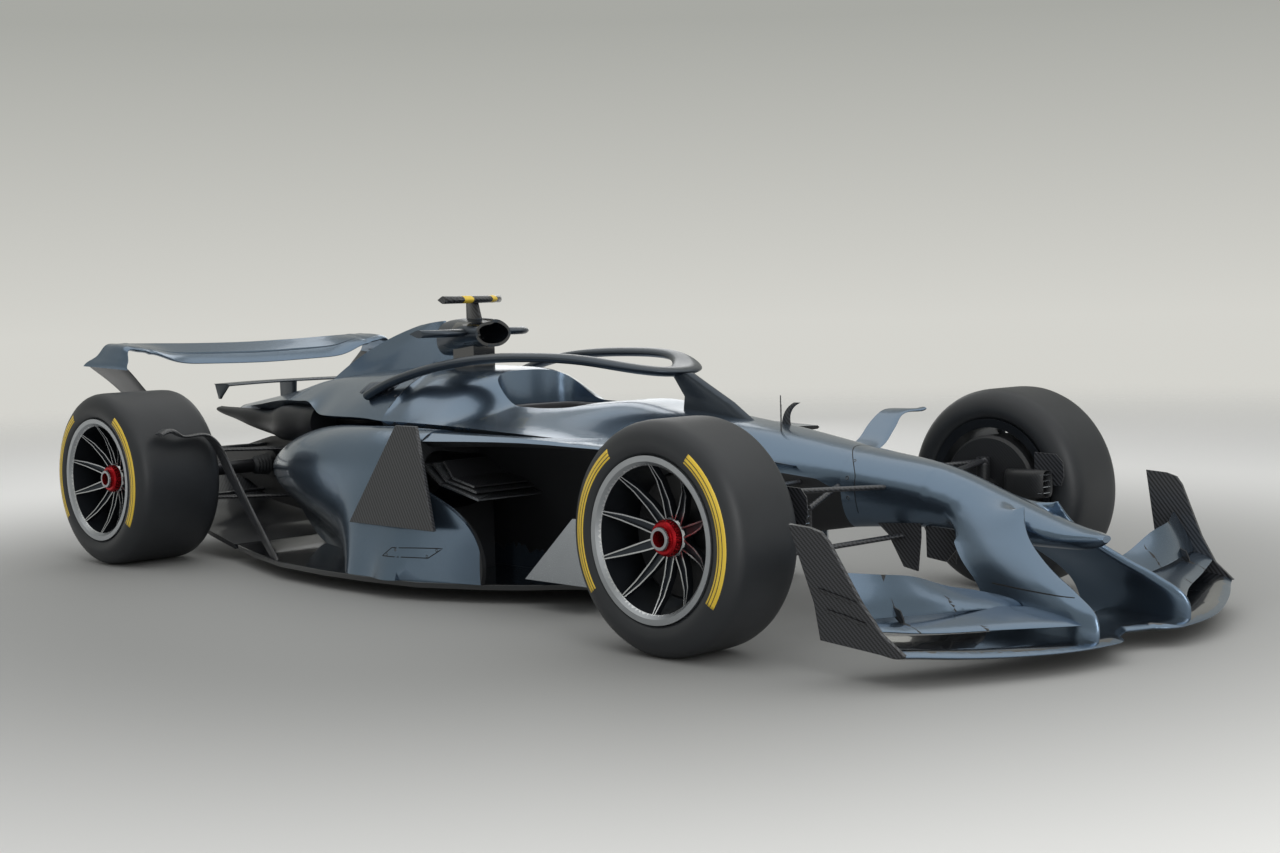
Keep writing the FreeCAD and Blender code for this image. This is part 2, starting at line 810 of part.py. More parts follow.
def side_panel(side):
    """The flat plate that leans on the sidepod's shoulder."""
    corners = [(-197, 748, 262), (309, 748, 262), (81, 638, 622), (-41, 638, 622)]
    faces = []
    for inset in (0.0, panel_thickness):
        faces.append(polygon([at(x, side * (y - inset), z) for x, y, z in corners]))
    return loft(faces, True)


def inlet_vanes(side):
    """Three bent plates in the inlet, from the tub's side out to their bright edges."""
    vanes = []
    for outer, edge in (
        (600.0, [(45, 482), (161, 412), (379, 368)]),
        (585.0, [(98, 484), (178, 424), (350, 392)]),
        (570.0, [(145, 494), (200, 434), (320, 410)]),
    ):
        lower = [(x, z - vane_thickness) for x, z in reversed(edge)]
        vanes.append(plate(edge + lower, side, 300.0, outer - 300.0))
    return vanes


# Floor, diffuser, engine and gearbox
def floor():
    outline = [
        (1130, 120), (1000, 250), (880, 360), (700, 430), (560, 560), (436, 640), (191, 748),
        (-92, floor_half_width - 4), (-346, floor_half_width), (-683, 749), (-976, 665),
        (diffuser_front + 20, 560), (diffuser_front, 120),
    ]
    left = [at(x, y, ride_height) for x, y in outline]
    right = [at(x, -y, ride_height) for x, y in reversed(outline)]
    panel = extruded(left + right, Z * floor_thickness)
    plank = Part.makeBox(2200.0, 2 * plank_half_width, plank_thickness + seat_gap,
                         at(-1250, -plank_half_width, ride_height - plank_thickness))
    return fused([panel, plank])


def diffuser():
    """The ramp that rises behind the floor, with upright fences under it."""
    ramp = [(358, ride_height, 560), (98, 85, 520), (-182, 170, 500), (-422, 300, 480)]
    stations = []
    for x, low, wide in ramp:
        high = low + floor_thickness
        stations.append(polygon([at(x, -wide, low), at(x, wide, low), at(x, wide, high),
                                 at(x, -wide, high)]))
    pieces = [loft(stations, True)]
    for y in (250, 487):
        for side in (RIGHT, LEFT):
            edge = [(x, low + 3.0) for x, low, wide in ramp]
            pieces.append(plate(edge + [(-417, 180), (345, ride_height)], side, y, 8.0))
    return from_axle(rear_axle, fused(pieces))


def engine_block():
    return Part.makeBox(engine_length, 2 * engine_half_width, 440.0,
                        at(engine_rear, -engine_half_width, floor_top + seat_gap))


def gearbox_case():
    """The gearbox with its output bosses, drawn out into the rear crash box."""
    stations = []
    for x, wide, low, high in (
        (engine_rear, 170, 120, 500),
        (diffuser_front, 116, 150, 500),
        (rear_axle - 42, 100, 190, 480),
        (rear_axle - 292, 70, 270, 430),
        (rear_axle - crash_box_reach, 52, 300, 400),
    ):
        stations.append(polygon([at(x, -wide, low), at(x, wide, low), at(x, wide, high),
                                 at(x, -wide, high)]))
    boss = cylinder_y(spindle_radius + output_wall, rear_axle, (-output_reach, output_reach), axle_height)
    case = fused([loft(stations, True), boss])
    for side in (RIGHT, LEFT):
        ends = (side * (output_reach - output_seat - 2.0), side * (output_reach + 1.0))
        case = case.cut(cylinder_y(spindle_radius + running_fit, rear_axle, ends, axle_height))
    bore = cylinder_y(jack_bore_radius, rear_axle - jack_bore_reach, (-200, 200), jack_bore_height)
    return case.cut(bore)


# Rear wing
def on_side(station, side):
    """The same station on the given side of the car."""
    lead, trail = station
    return ((lead[0], side * lead[1], lead[2]), (trail[0], side * trail[1], trail[2]))


def rear_wing():
    """One blade with a long slot, whose ends curl down into upright panels."""
    trail = -rear_wing_reach - rear_wing_chord
    shares = [(0, 809, 898), (0.373, 814, 902), (0.553, 819, 906), (0.72, 848, 910), (0.837, 872, 913)]
    stations = []
    for share, front_z, rear_z in shares:
        y = rear_wing_half_width * share
        stations.append(((-rear_wing_reach, y, front_z), (trail, y, rear_z)))
    other = [on_side(station, RIGHT) for station in stations[:0:-1]]
    middle = foils(other + stations, Z, rear_wing_thickness, 120.0)
    slot = loft([
        polygon([at(-288 + wide, y, z - 40), at(-288 + wide, y, z + 40), at(-288 - wide, y, z + 40),
                 at(-288 - wide, y, z - 40)])
        for y, z, wide in ((-slot_half_width, 884, 1), (-slot_half_width / 2, 866, 8), (0, 863, 9),
                           (slot_half_width / 2, 866, 8), (slot_half_width, 884, 1))
    ], True)
    pieces = [middle.cut(slot)]
    for side in (RIGHT, LEFT):
        out = rear_wing_half_width
        pieces.append(foils(
            [
                on_side(stations[-1], side) + (Z,),
                ((-rear_wing_reach, side * (out - 42), 890), (trail - 4, side * (out - 38), 915), Z),
                ((-rear_wing_reach, side * (out - 4), 888), (trail - 8, side * out, 908),
                 at(0, 0.7 * side, 0.7)),
                ((-rear_wing_reach + 6, side * (out + 4), 862), (trail - 30, side * (out + 14), 880),
                 at(0, 0.98 * side, 0.2)),
                ((-rear_wing_reach + 16, side * (out + 14), 802), (trail - 118, side * (out + 50), 818),
                 at(0, 0.98 * side, 0.2)),
            ],
            Z,
            rear_wing_thickness,
            30.0,
        ))
    return from_axle(rear_axle, fused(pieces))


def rear_wing_support(side):
    """The curved blade from the diffuser's side up to the wing's end panel."""
    out = rear_wing_half_width
    blade = foils(
        [
            ((-206, side * (out + 17), 814), (-506, side * (out + 46), 828)),
            ((-224, side * (out - 62), 736), (-484, side * (out - 56), 742)),
            ((-242, side * (out - 144), 640), (-462, side * (out - 144), 640)),
            ((-302, side * 492, 480), (-442, side * 492, 480)),
            ((-302, side * 470, 230), (-412, side * 470, 230)),
        ],
        Y,
        18.0,
        80.0,
    )
    return from_axle(rear_axle, blade)


def beam_wing():
    """The low wing over the tail, on one pylon, with its tips turned down to a point."""
    half = beam_half_width
    plane = foils([((53, -half, 724), (-74, -half, 728)), ((18, 0, 727), (-104, 0, 731)),
                   ((53, half, 724), (-74, half, 728))], Z, 12.0)
    pieces = [plane]
    for side in (RIGHT, LEFT):
        pieces.append(foils([((50, side * (half - 4), 724), (-72, side * (half - 4), 728)),
                             ((-4, side * (half + 8), 664), (-26, side * (half + 8), 664))], Y, 9.0))
    pieces.append(foils([((30, 0, 724), (-104, 0, 728)), ((20, 0, 600), (-100, 0, 600))], Y, 20.0))
    return from_axle(rear_axle, fused(pieces))


# Small aerodynamic pieces
def rear_strut(side):
    """The bent blade between the floor and the front of the rear tyre."""
    blade = foils(
        [
            ((898, side * 704, floor_top), (828, side * 694, floor_top)),
            ((628, side * 668, 300), (548, side * 658, 290)),
            ((452, side * 642, 456), (372, side * 634, 446)),
            ((416, side * 668, 522), (336, side * 662, 520), at(0, -0.7 * side, 0.7)),
            ((406, side * 740, 546), (330, side * 736, 546), Z),
            ((400, side * 905, 556), (336, side * 905, 559), Z),
        ],
        Y * -side,
        14.0,
        80.0,
    )
    return from_axle(rear_axle, blade)


def over_wheel_fin(side):
    blade = foils(
        [
            ((-138, side * 120, 500), (-268, side * 120, 510), at(0, -0.3 * side, 0.95)),
            ((-158, side * 300, 540), (-278, side * 300, 552), at(0, -0.4 * side, 0.9)),
            ((-193, side * 420, 600), (-303, side * 420, 618), at(0, -0.5 * side, 0.85)),
            ((-218, side * 500, 640), (-308, side * 500, 652), at(0, -0.2 * side, 0.97)),
            ((-196, side * 600, 652), (-228, side * 600, 656), Z),
        ],
        Z,
        10.0,
        50.0,
    )
    return from_axle(front_axle, blade)


def nose_vanes(side):
    """Two upright plates that hang under the nose."""
    vanes = []
    for inner, outline in (
        (96.0, [(60, 400), (319, 380), (319, 300), (306, 190), (250, 200), (188, 300)]),
        (84.0, [(330, 370), (500, 340), (457, 277), (410, 227), (334, 236)]),
    ):
        vanes.append(from_axle(front_axle, plate(outline, side, inner, vane_thickness)))
    return vanes


def deflector(side):
    """The plate ahead of the sidepod, on a shelf that grows from the floor's edge."""
    board = plate([(628, 104), (883, 333), (985, 333), (985, 104)], side, 596.0, 8.0)
    shelf = foils(
        [
            ((880, side * 320, floor_top + 4), (600, side * 480, floor_top + 4)),
            ((940, side * 602, 108), (636, side * 598, 108)),
        ],
        Z,
        8.0,
    )
    return fused([board, shelf])


# Driver's place
def seat():
    """A bucket of one thick shell with side bolsters."""
    low = cockpit_floor + seat_gap
    back = cockpit_rear + 12.0
    half = 165.0
    profile = [(440, low), (150, low), (back + 60, 260), (back, 560), (back + 26, 572), (back + 96, 300),
               (200, low + 42), (440, low + 26)]
    cushion = plate(profile, RIGHT, -half, 2 * half)
    bolsters = []
    for side in (RIGHT, LEFT):
        outline = [(400, low), (150, low), (back + 60, 260), (back + 16, 460), (back + 120, 470),
                   (170, 330), (400, low + 90)]
        bolsters.append(plate(outline, side, half - 30.0, 30.0))
    return fused([cushion] + bolsters)


def headrest():
    """The padding round the back and sides of the cockpit's rim."""
    outer = cockpit_half_width + 10.0
    inner = cockpit_half_width - 62.0
    back = cockpit_rear + 30.0
    left = [(230, inner + 10), (230, outer), (back - 60, outer)]
    inside = [(back + 62, inner - 40), (back + 110, inner)]
    points = [at(x, y, 600) for x, y in left] + [at(x, -y, 600) for x, y in reversed(left)]
    points += [at(x, -y, 600) for x, y in reversed(inside)] + [at(x, y, 600) for x, y in inside]
    return extruded(points, Z * 64)


def steering_wheel():
    """A flat-topped wheel with two upright grips, a middle block and its column."""
    x = cockpit_front - 90.0
    height = steering_height
    block = Part.makeBox(24.0, 170.0, 96.0, at(x - 12.0, -85, height - 40.0))
    grips = []
    for side in (RIGHT, LEFT):
        grips.append(loft([
            oval_flat(x, side * 118, height - 62, 15, 13),
            oval_flat(x, side * 134, height + 5, 18, 16),
            oval_flat(x, side * 118, height + 72, 15, 13),
        ]))
    bars = [Part.makeBox(20.0, 250.0, 18.0, at(x - 10.0, -125, height + rise)) for rise in (-38.0, 38.0)]
    column = Part.makeCylinder(column_radius, cockpit_front - x + column_seat, at(x, 0, height), X)
    return fused([block, column] + grips + bars)


def oval_flat(x, y, z, half_length, half_width):
    """A level oval."""
    points = []
    for step in range(8):
        angle = math.pi / 4 * step
        points.append(at(x + half_length * math.cos(angle), y + half_width * math.sin(angle), z))
    return closed_curve(points)


# Cameras and antennas
def cameras():
    """The bar over the intake and the pod at each of its sides."""
    pylon = foils([((-300, 0, intake_high - 10), (-400, 0, intake_high - 10)),
                   ((-330, 0, 1074), (-400, 0, 1074))],
                  Y, 26.0)
    bar = foils([((-350, -146, 1078), (-400, -146, 1078)), ((-296, -70, 1078), (-420, -70, 1078)),
                 ((-296, 70, 1078), (-420, 70, 1078)), ((-350, 146, 1078), (-400, 146, 1078))], Z, 30.0)
    pods = []
    for side in (RIGHT, LEFT):
        pods.append(foils([((-310, side * 60, 948), (-450, side * 60, 948)),
                           ((-296, side * 240, 946), (-440, side * 240, 946)),
                           ((-346, side * 268, 946), (-430, side * 268, 946))], Z, 30.0))
    return fused([pylon, bar]), pods


def antennas():
    rods = [Part.makeCylinder(2.0, rise, at(front_axle + x, y, 560), Z)
            for x, y, rise in ((-332, -30, 172), (-300, -64, 144))]
    fin = foils([((-330, 60, 560), (-400, 60, 560)), ((-356, 60, 680), (-384, 60, 680)),
                 ((-320, 60, 702), (-350, 60, 702))], Y, 8.0)
    return rods + [from_axle(front_axle, fin)]


def build():
    os.makedirs("parts", exist_ok=True)
    sides = (RIGHT, LEFT)
    carriers = [rear_hub_carrier(side) for side in sides]
    for side, hand in ((RIGHT, "right"), (LEFT, "left")):
        wheel("front", front_axle, front_tyre_width, side, hand)
        wheel("rear", rear_axle, rear_tyre_width, side, hand)
        write("front_knuckle_" + hand, knuckle(side))
        write("driveshaft_" + hand, driveshaft(side))
    cell = survival_cell()
    base = floor()
    case = gearbox_case()
    block = engine_block()
    ramp = clear_of(diffuser(), case)
    plates = [endplate(side) for side in sides]
    main = clear_of(main_plane(), *plates)
    nose = clear_of(nose_cone(), main, cell)
    flaps = []
    for side in sides:
        lower, upper = wing_flaps(side)
        lower = clear_of(lower, nose, main, *plates)
        flaps += [lower, clear_of(upper, lower, nose, main, *plates)]
    cover = clear_of(engine_cover(), cell, case, block)
    scoop = clear_of(airbox(), cover, cell)
    pods = [clear_of(sidepod(side), cell, cover, base, block) for side in sides]
    write("survival_cell", cell)
    write("nose_cone", nose)
    write("front_wing_main", main)
    write("front_wing_flaps", flaps)
    write("front_wing_endplates", plates)
    write("halo", clear_of(halo(), cell, cover))
    write("engine_cover", cover)
    write("airbox", scoop)
    bar, camera_pods = cameras()
    write("cameras", [clear_of(piece, scoop, cover) for piece in [bar] + camera_pods])
    write("sidepod_right", pods[0])
    write("sidepod_left", pods[1])
    panels = [clear_of(side_panel(side), pod) for side, pod in zip(sides, pods)]
    write("side_panels", panels)
    vanes = []
    for side, pod, panel in zip(sides, pods, panels):
        vanes += [clear_of(vane, cell, pod, panel) for vane in inlet_vanes(side)]
    write("inlet_vanes", vanes)
    write("tail_ducts", [clear_of(tail_duct(side), cover, case, pod) for side, pod in zip(sides, pods)])
    write("floor", base)
    write("diffuser", ramp)
    write("engine_block", block)
    write("gearbox_case", case)
    arms = [clear_of(wishbone, cell, nose) for side in sides for wishbone in front_arms(side)]
    write("front_suspension", arms)
    write("rear_suspension", [clear_of(wishbone, case, block, *carriers)
                              for side in sides for wishbone in rear_arms(side)])
    write("rear_hub_carriers", carriers)
    wing = rear_wing()
    write("rear_wing", wing)
    write("rear_wing_supports", [clear_of(rear_wing_support(side), wing, ramp) for side in sides])
    write("beam_wing", clear_of(beam_wing(), cover))
    write("rear_strut_blades", [clear_of(rear_strut(side), base) for side in sides])
    write("over_wheel_fins", [clear_of(over_wheel_fin(side), cell) for side in sides])
    write("turning_vanes", [clear_of(vane, nose, cell,
                                     *arms) for side in sides for vane in nose_vanes(side)])
    write("deflectors", [clear_of(deflector(side), base) for side in sides])
    write("seat", clear_of(seat(), cell))
    write("headrest", clear_of(headrest(), cell))
    write("steering_wheel", steering_wheel())
    write("antennas", [clear_of(piece, cell) for piece in antennas()])


build()
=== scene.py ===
# %% [markdown]
# # Open wheel racing car
# The CAD assembly comes in as a fixed frame: every solid is in its place, in metres, and already
# moves with its body. This lesson gives the solids smooth skins and real finishes, and then adds
# what the solids leave out: round tyre shoulders, machined spoke edges, louvres, fasteners,
# brake ducts, padding and belts.

# %% Load the frame
import json
import math
from contextlib import contextmanager

import bmesh
import bpy
from mathutils import Matrix, Vector
from mathutils.bvhtree import BVHTree

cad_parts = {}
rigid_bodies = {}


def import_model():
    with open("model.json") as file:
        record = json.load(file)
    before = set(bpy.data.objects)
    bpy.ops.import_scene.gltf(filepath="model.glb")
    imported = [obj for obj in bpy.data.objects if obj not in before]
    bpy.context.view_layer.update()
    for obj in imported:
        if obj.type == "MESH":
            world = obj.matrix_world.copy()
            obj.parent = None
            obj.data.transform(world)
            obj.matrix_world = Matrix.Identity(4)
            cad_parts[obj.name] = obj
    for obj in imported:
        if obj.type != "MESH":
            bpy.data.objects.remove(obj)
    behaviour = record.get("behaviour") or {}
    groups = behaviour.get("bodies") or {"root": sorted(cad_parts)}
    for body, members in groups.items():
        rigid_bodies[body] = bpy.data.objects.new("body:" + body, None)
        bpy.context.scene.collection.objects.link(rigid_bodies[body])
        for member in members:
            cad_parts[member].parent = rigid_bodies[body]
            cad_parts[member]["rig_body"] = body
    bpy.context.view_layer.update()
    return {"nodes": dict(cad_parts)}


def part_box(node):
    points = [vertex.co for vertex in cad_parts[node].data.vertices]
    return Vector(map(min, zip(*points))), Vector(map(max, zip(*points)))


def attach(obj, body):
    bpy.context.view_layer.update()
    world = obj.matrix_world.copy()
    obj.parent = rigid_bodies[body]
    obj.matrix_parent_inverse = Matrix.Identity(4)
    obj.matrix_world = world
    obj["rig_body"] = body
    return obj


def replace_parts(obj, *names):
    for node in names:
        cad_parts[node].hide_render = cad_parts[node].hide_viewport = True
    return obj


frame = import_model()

nodes = frame["nodes"]

# %% [markdown]
# Every place in this file is measured from the wheels, because the wheels are what the car is built
# round. `car(x, y, z)` takes a point from the ground under the middle of the wheelbase, as the car's
# drawings do, and `hands` gives the sign of y on the car's right and left.

# %% Places taken from the frame
front_low, front_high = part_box("front_tyre_right")
rear_low, rear_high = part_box("rear_tyre_right")
front_axle = (front_low.x + front_high.x) / 2
rear_axle = (rear_low.x + rear_high.x) / 2
axle_height = (front_low.z + front_high.z) / 2
tyre_radius = (front_high.z - front_low.z) / 2
tyre_face = -front_low.y
tyre_widths = {"front": front_high.y - front_low.y, "rear": rear_high.y - rear_low.y}
axles = {"front": front_axle, "rear": rear_axle}
middle_x = (front_axle + rear_axle) / 2
hands = {"right": -1, "left": 1}
wheels = [(place, hand, side) for place in axles for hand, side in hands.items()]


def car(x, y, z):
    """A point in metres from the ground under the middle of the wheelbase."""
    return Vector((middle_x + x, y, z))


print("wheelbase", round(front_axle - rear_axle, 3), "tyre radius", round(tyre_radius, 3))

# %% [markdown]
# ## Camera
# The car is seen from the front right, from a little above its intake. The place and the three
# angles were found from the wheels' ovals in the picture.

# %% Camera
eye = car(5.86377, -5.06163, 1.12263)
yaw, pitch, roll = 2.376, -0.0718, -0.0239
lens, sensor = 55.62, 36.0

forward = Vector((math.cos(pitch) * math.cos(yaw), math.cos(pitch) * math.sin(yaw), math.sin(pitch)))
level = Vector((math.sin(yaw), -math.cos(yaw), 0.0))
upward = level.cross(forward)
across = level * math.cos(roll) + upward * math.sin(roll)
upright = upward * math.cos(roll) - level * math.sin(roll)
camera_data = bpy.data.cameras.new("camera")
camera_data.lens = lens
camera_data.sensor_width = sensor
camera_data.dof.use_dof = False
camera = bpy.data.objects.new("camera", camera_data)
bpy.context.scene.collection.objects.link(camera)
turn = Matrix((across, upright, -forward)).transposed().to_4x4()
camera.matrix_world = Matrix.Translation(eye) @ turn
bpy.context.scene.camera = camera
print("camera at", tuple(round(v, 3) for v in eye))

# %% [markdown]
# ## Small helpers
# Node trees are easier to read when a node and its inputs are one call. `calc` makes one Math node
# from sockets and numbers, so that it reads nearly like a formula.

# %% Helpers for node trees
def feed(tree, value, socket):
    """Links a socket, or sets a plain value."""
    if isinstance(value, bpy.types.NodeSocket):
        tree.links.new(value, socket)
    else:
        socket.default_value = value


def add(tree, kind, inputs=None, **settings):
    """Adds a node with its settings; its inputs are plain values or the sockets that feed them."""
    node = tree.nodes.new(kind)
    for key, value in settings.items():
        setattr(node, key, value)
    for key, value in (inputs or {}).items():
        feed(tree, value, node.inputs[key])
    return node


def calc(tree, operation, *terms):
    return add(tree, "ShaderNodeMath", dict(enumerate(terms)), operation=operation).outputs[0]


def blend_between(tree, low, high, mask):
    """A value that goes from low to high as the mask goes from 0 to 1."""
    node = add(tree, "ShaderNodeMapRange", {"Value": mask, "To Min": low, "To Max": high})
    return node.outputs["Result"]


# Places of the Mix node's two colour inputs and of its colour output.
first_color, second_color, mixed_color = 6, 7, 2


def two_tone(tree, dark, light, mask):
    values = {"Factor": mask, first_color: (*dark, 1.0), second_color: (*light, 1.0)}
    node = add(tree, "ShaderNodeMix", values, data_type="RGBA")
    return node.outputs[mixed_color]


def node_group(name, inputs, outputs, kind="Shader"):
    """A node group with its sockets; inputs and outputs are (name, kind of socket) pairs."""
    tree = bpy.data.node_groups.new(name, kind + "NodeTree")
    for way, sockets in (("INPUT", inputs), ("OUTPUT", outputs)):
        for label, socket in sockets:
            tree.interface.new_socket(name=label, in_out=way, socket_type="NodeSocket" + socket)
    return tree, add(tree, "NodeGroupInput").outputs, add(tree, "NodeGroupOutput").inputs


# %% [markdown]
# ## Shared effects
# Carbon cloth is a 2/2 twill: each tow passes over two tows and under two, one step further in each
# row, so the eye sees diagonal lines. The group works out which tow is on top from the object's own
# coordinates, on the plane that the surface faces most, and gives a mask and the crown of the tow.

# %% Twill weave group
twill, given, result = node_group(
    "twill_weave",
    [("Place", "Vector"), ("Facing", "Vector"), ("Tow", "Float")],
    [("Warp", "Float"), ("Crown", "Float")],
)
per_tow = calc(twill, "DIVIDE", 1.0, given["Tow"])
scaled = add(twill, "ShaderNodeVectorMath", {0: given["Place"], "Scale": per_tow}, operation="SCALE")
place = add(twill, "ShaderNodeSeparateXYZ", {0: scaled.outputs[0]})
sized = add(twill, "ShaderNodeVectorMath", {0: given["Facing"]}, operation="ABSOLUTE")
facing = add(twill, "ShaderNodeSeparateXYZ", {0: sized.outputs[0]})
faces_x = calc(twill, "GREATER_THAN", facing.outputs[0],
               calc(twill, "MAXIMUM", facing.outputs[1], facing.outputs[2]))
faces_z = calc(twill, "GREATER_THAN", facing.outputs[2],
               calc(twill, "MAXIMUM", facing.outputs[0], facing.outputs[1]))
px, py, pz = place.outputs
along = calc(twill, "ADD", px, calc(twill, "MULTIPLY", calc(twill, "SUBTRACT", py, px), faces_x))
beside = calc(twill, "ADD", pz, calc(twill, "MULTIPLY", calc(twill, "SUBTRACT", py, pz), faces_z))
steps = calc(twill, "ADD", calc(twill, "FLOOR", along), calc(twill, "FLOOR", beside))
over = calc(twill, "LESS_THAN", calc(twill, "FLOORED_MODULO", steps, 4.0), 2.0)
crown_warp = calc(twill, "SINE", calc(twill, "MULTIPLY", calc(twill, "FRACT", beside), math.pi))
crown_weft = calc(twill, "SINE", calc(twill, "MULTIPLY", calc(twill, "FRACT", along), math.pi))
crown = calc(twill, "ADD", calc(twill, "MULTIPLY", crown_warp, over),
             calc(twill, "MULTIPLY", crown_weft, calc(twill, "SUBTRACT", 1.0, over)))
feed(twill, over, result["Warp"])
feed(twill, crown, result["Crown"])
print("twill nodes", len(twill.nodes))

# %% [markdown]
# Nothing on a car is one even gloss: paint has a faint orange peel, rubber and cloth have grain, and
# metal has a fine brushed tone. One noise group gives all of them a fine and a broad variation.

# %% Grain group
grain, given, result = node_group(
    "surface_grain",
    [("Place", "Vector"), ("Fine", "Float"), ("Broad", "Float")],
    [("Fine", "Float"), ("Broad", "Float")],
)
for label, detail in (("Fine", 3.0), ("Broad", 2.0)):
    noise = add(grain, "ShaderNodeTexNoise",
                {"Vector": given["Place"], "Scale": given[label], "Detail": detail})
    feed(grain, noise.outputs[0], result[label])

# %% [markdown]
# ## Finishes
# Each finish is one Principled BSDF. Numbers that are the same all over are set on its sockets; the
# groups feed only what changes over the surface.

# %% Finishes
def finish(name, color, rough, metal=0.0, **sockets):
    """A material with plain values; its tree, shader and object coordinates are returned too."""
    made = bpy.data.materials.new(name)
    made.use_nodes = True
    tree = made.node_tree
    shader = tree.nodes["Principled BSDF"]
    values = {"Base Color": (*color, 1.0), "Roughness": rough, "Metallic": metal, **sockets}
    for label, value in values.items():
        shader.inputs[label.replace("_", " ")].default_value = value
    return made, tree, shader, add(tree, "ShaderNodeTexCoord")


def bumped(tree, shader, height_map, strength, distance):
    """Raises the surface a little where the height map is high."""
    bump = add(tree, "ShaderNodeBump", {"Strength": strength, "Distance": distance, "Height": height_map})
    feed(tree, bump.outputs[0], shader.inputs["Normal"])


def grained(name, dark, light, rough, spread, fine, broad, height=0.0, metal=0.0, **sockets):
    """A finish with a tone that wanders between two colours and a roughness that wanders by spread."""
    made, tree, shader, coords = finish(name, dark, rough, metal, **sockets)
    group = add(tree, "ShaderNodeGroup", {"Place": coords.outputs["Object"], "Fine": fine, "Broad": broad},
                node_tree=grain)
    feed(tree, two_tone(tree, dark, light, group.outputs["Broad"]), shader.inputs["Base Color"])
    feed(tree, blend_between(tree, rough - spread, rough + spread, group.outputs["Fine"]),
         shader.inputs["Roughness"])
    if height:
        bumped(tree, shader, group.outputs["Fine"], 0.5, height)
    return made


def woven(name, dark, light, tow, rough, **sockets):
    """Carbon cloth under lacquer."""
    made, tree, shader, coords = finish(name, dark, rough, 0.0, **sockets)
    group = add(tree, "ShaderNodeGroup",
                {"Place": coords.outputs["Object"], "Facing": coords.outputs["Normal"], "Tow": tow},
                node_tree=twill)
    feed(tree, two_tone(tree, dark, light, group.outputs["Warp"]), shader.inputs["Base Color"])
    feed(tree, blend_between(tree, rough, rough + 0.16, group.outputs["Warp"]), shader.inputs["Roughness"])
    bumped(tree, shader, group.outputs["Crown"], 0.35, 0.0004)
    return made


# A grained finish has two tones, roughness and its spread, fine and broad grain, and height of its bump.
# A woven one has two tones, the width of a tow in metres, and roughness.
paint = grained("body_paint", (0.13, 0.185, 0.255), (0.16, 0.225, 0.308), 0.25, 0.015, 600.0, 2.5,
                metal=0.92, Coat_Weight=0.4, Coat_Roughness=0.08)
satin = grained("satin_paint", (0.05, 0.062, 0.078), (0.065, 0.08, 0.1), 0.36, 0.015, 600.0, 2.5,
                metal=0.85, Coat_Weight=0.3, Coat_Roughness=0.2)
carbon = woven("carbon_twill", (0.004, 0.0045, 0.006), (0.05, 0.053, 0.06), 0.0042, 0.34,
               Coat_Weight=0.45, Coat_Roughness=0.1)
matt_carbon = woven("matt_carbon", (0.005, 0.0052, 0.006), (0.02, 0.022, 0.026), 0.0032, 0.45,
                    Coat_Weight=0.2, Coat_Roughness=0.3)
gloss_black = grained("gloss_black", (0.004, 0.005, 0.007), (0.009, 0.011, 0.014), 0.2, 0.04, 60.0, 3.0,
                      Coat_Weight=1.0, Coat_Roughness=0.04)
rubber = grained("tyre_rubber", (0.016, 0.018, 0.021), (0.027, 0.03, 0.034), 0.47, 0.06, 700.0, 7.0, 0.0003,
                 Specular_IOR_Level=0.5)
dark_alloy = grained("dark_alloy", (0.035, 0.042, 0.052), (0.055, 0.063, 0.074), 0.33, 0.05, 300.0, 9.0,
                     metal=0.8)
machined = grained("machined_edge", (0.55, 0.57, 0.59), (0.7, 0.71, 0.72), 0.27, 0.06, 500.0, 12.0,
                   metal=0.95)
flange_alloy = grained("flange_alloy", (0.36, 0.38, 0.4), (0.46, 0.48, 0.5), 0.36, 0.05, 500.0, 12.0,
                       metal=0.85)
red_alloy = grained("red_alloy", (0.34, 0.006, 0.012), (0.55, 0.012, 0.02), 0.28, 0.05, 300.0, 30.0,
                    metal=0.8)
steel = grained("dark_steel", (0.07, 0.072, 0.078), (0.11, 0.112, 0.12), 0.34, 0.08, 200.0, 14.0, metal=0.9)
bright = grained("bright_trim", (0.42, 0.45, 0.48), (0.55, 0.58, 0.61), 0.26, 0.04, 300.0, 6.0, metal=0.9)
yellow = grained("yellow_mark", (0.75, 0.5, 0.03), (0.86, 0.62, 0.08), 0.45, 0.05, 400.0, 9.0, 0.0001)
suede = grained("suede", (0.012, 0.0125, 0.014), (0.03, 0.031, 0.034), 0.9, 0.05, 1400.0, 22.0, 0.0004,
                Sheen_Weight=0.4, Sheen_Roughness=0.4)
webbing = grained("belt_webbing", (0.02, 0.024, 0.03), (0.05, 0.056, 0.066), 0.75, 0.08, 1600.0, 30.0,
                  0.0004)
grip = grained("matt_grip", (0.014, 0.0145, 0.016), (0.028, 0.029, 0.031), 0.62, 0.06, 900.0, 20.0, 0.0003)
lens_glass = grained("dark_glass", (0.002, 0.003, 0.005), (0.004, 0.006, 0.01), 0.07, 0.02, 40.0, 4.0,
                     Coat_Weight=1.0, Coat_Roughness=0.02)
skid = grained("skid_board", (0.1, 0.075, 0.05), (0.16, 0.125, 0.085), 0.6, 0.08, 120.0, 9.0, 0.0003)
print("finishes", len(bpy.data.materials))

# %% [markdown]
# ## Studio
# A pale floor fades into a pale backdrop without a horizon line; round the car the floor's colour is
# darker, a painted shadow of the car. The backdrop's tone is what the camera and the paint's reflections
# see; the light on the car comes from a wide soft box overhead and two weaker ones, at a level where a
# colour renders about as written.

# %% Studio floor, backdrop and lamps
# The first tone is a painted shadow of the car on the floor, the second is the open floor.
shadow_and_floor_tones = ((0.33, 0.332, 0.322), (0.95, 0.945, 0.915))
sky_low = (0.66, 0.655, 0.615)
sky_high = (0.39, 0.395, 0.368)

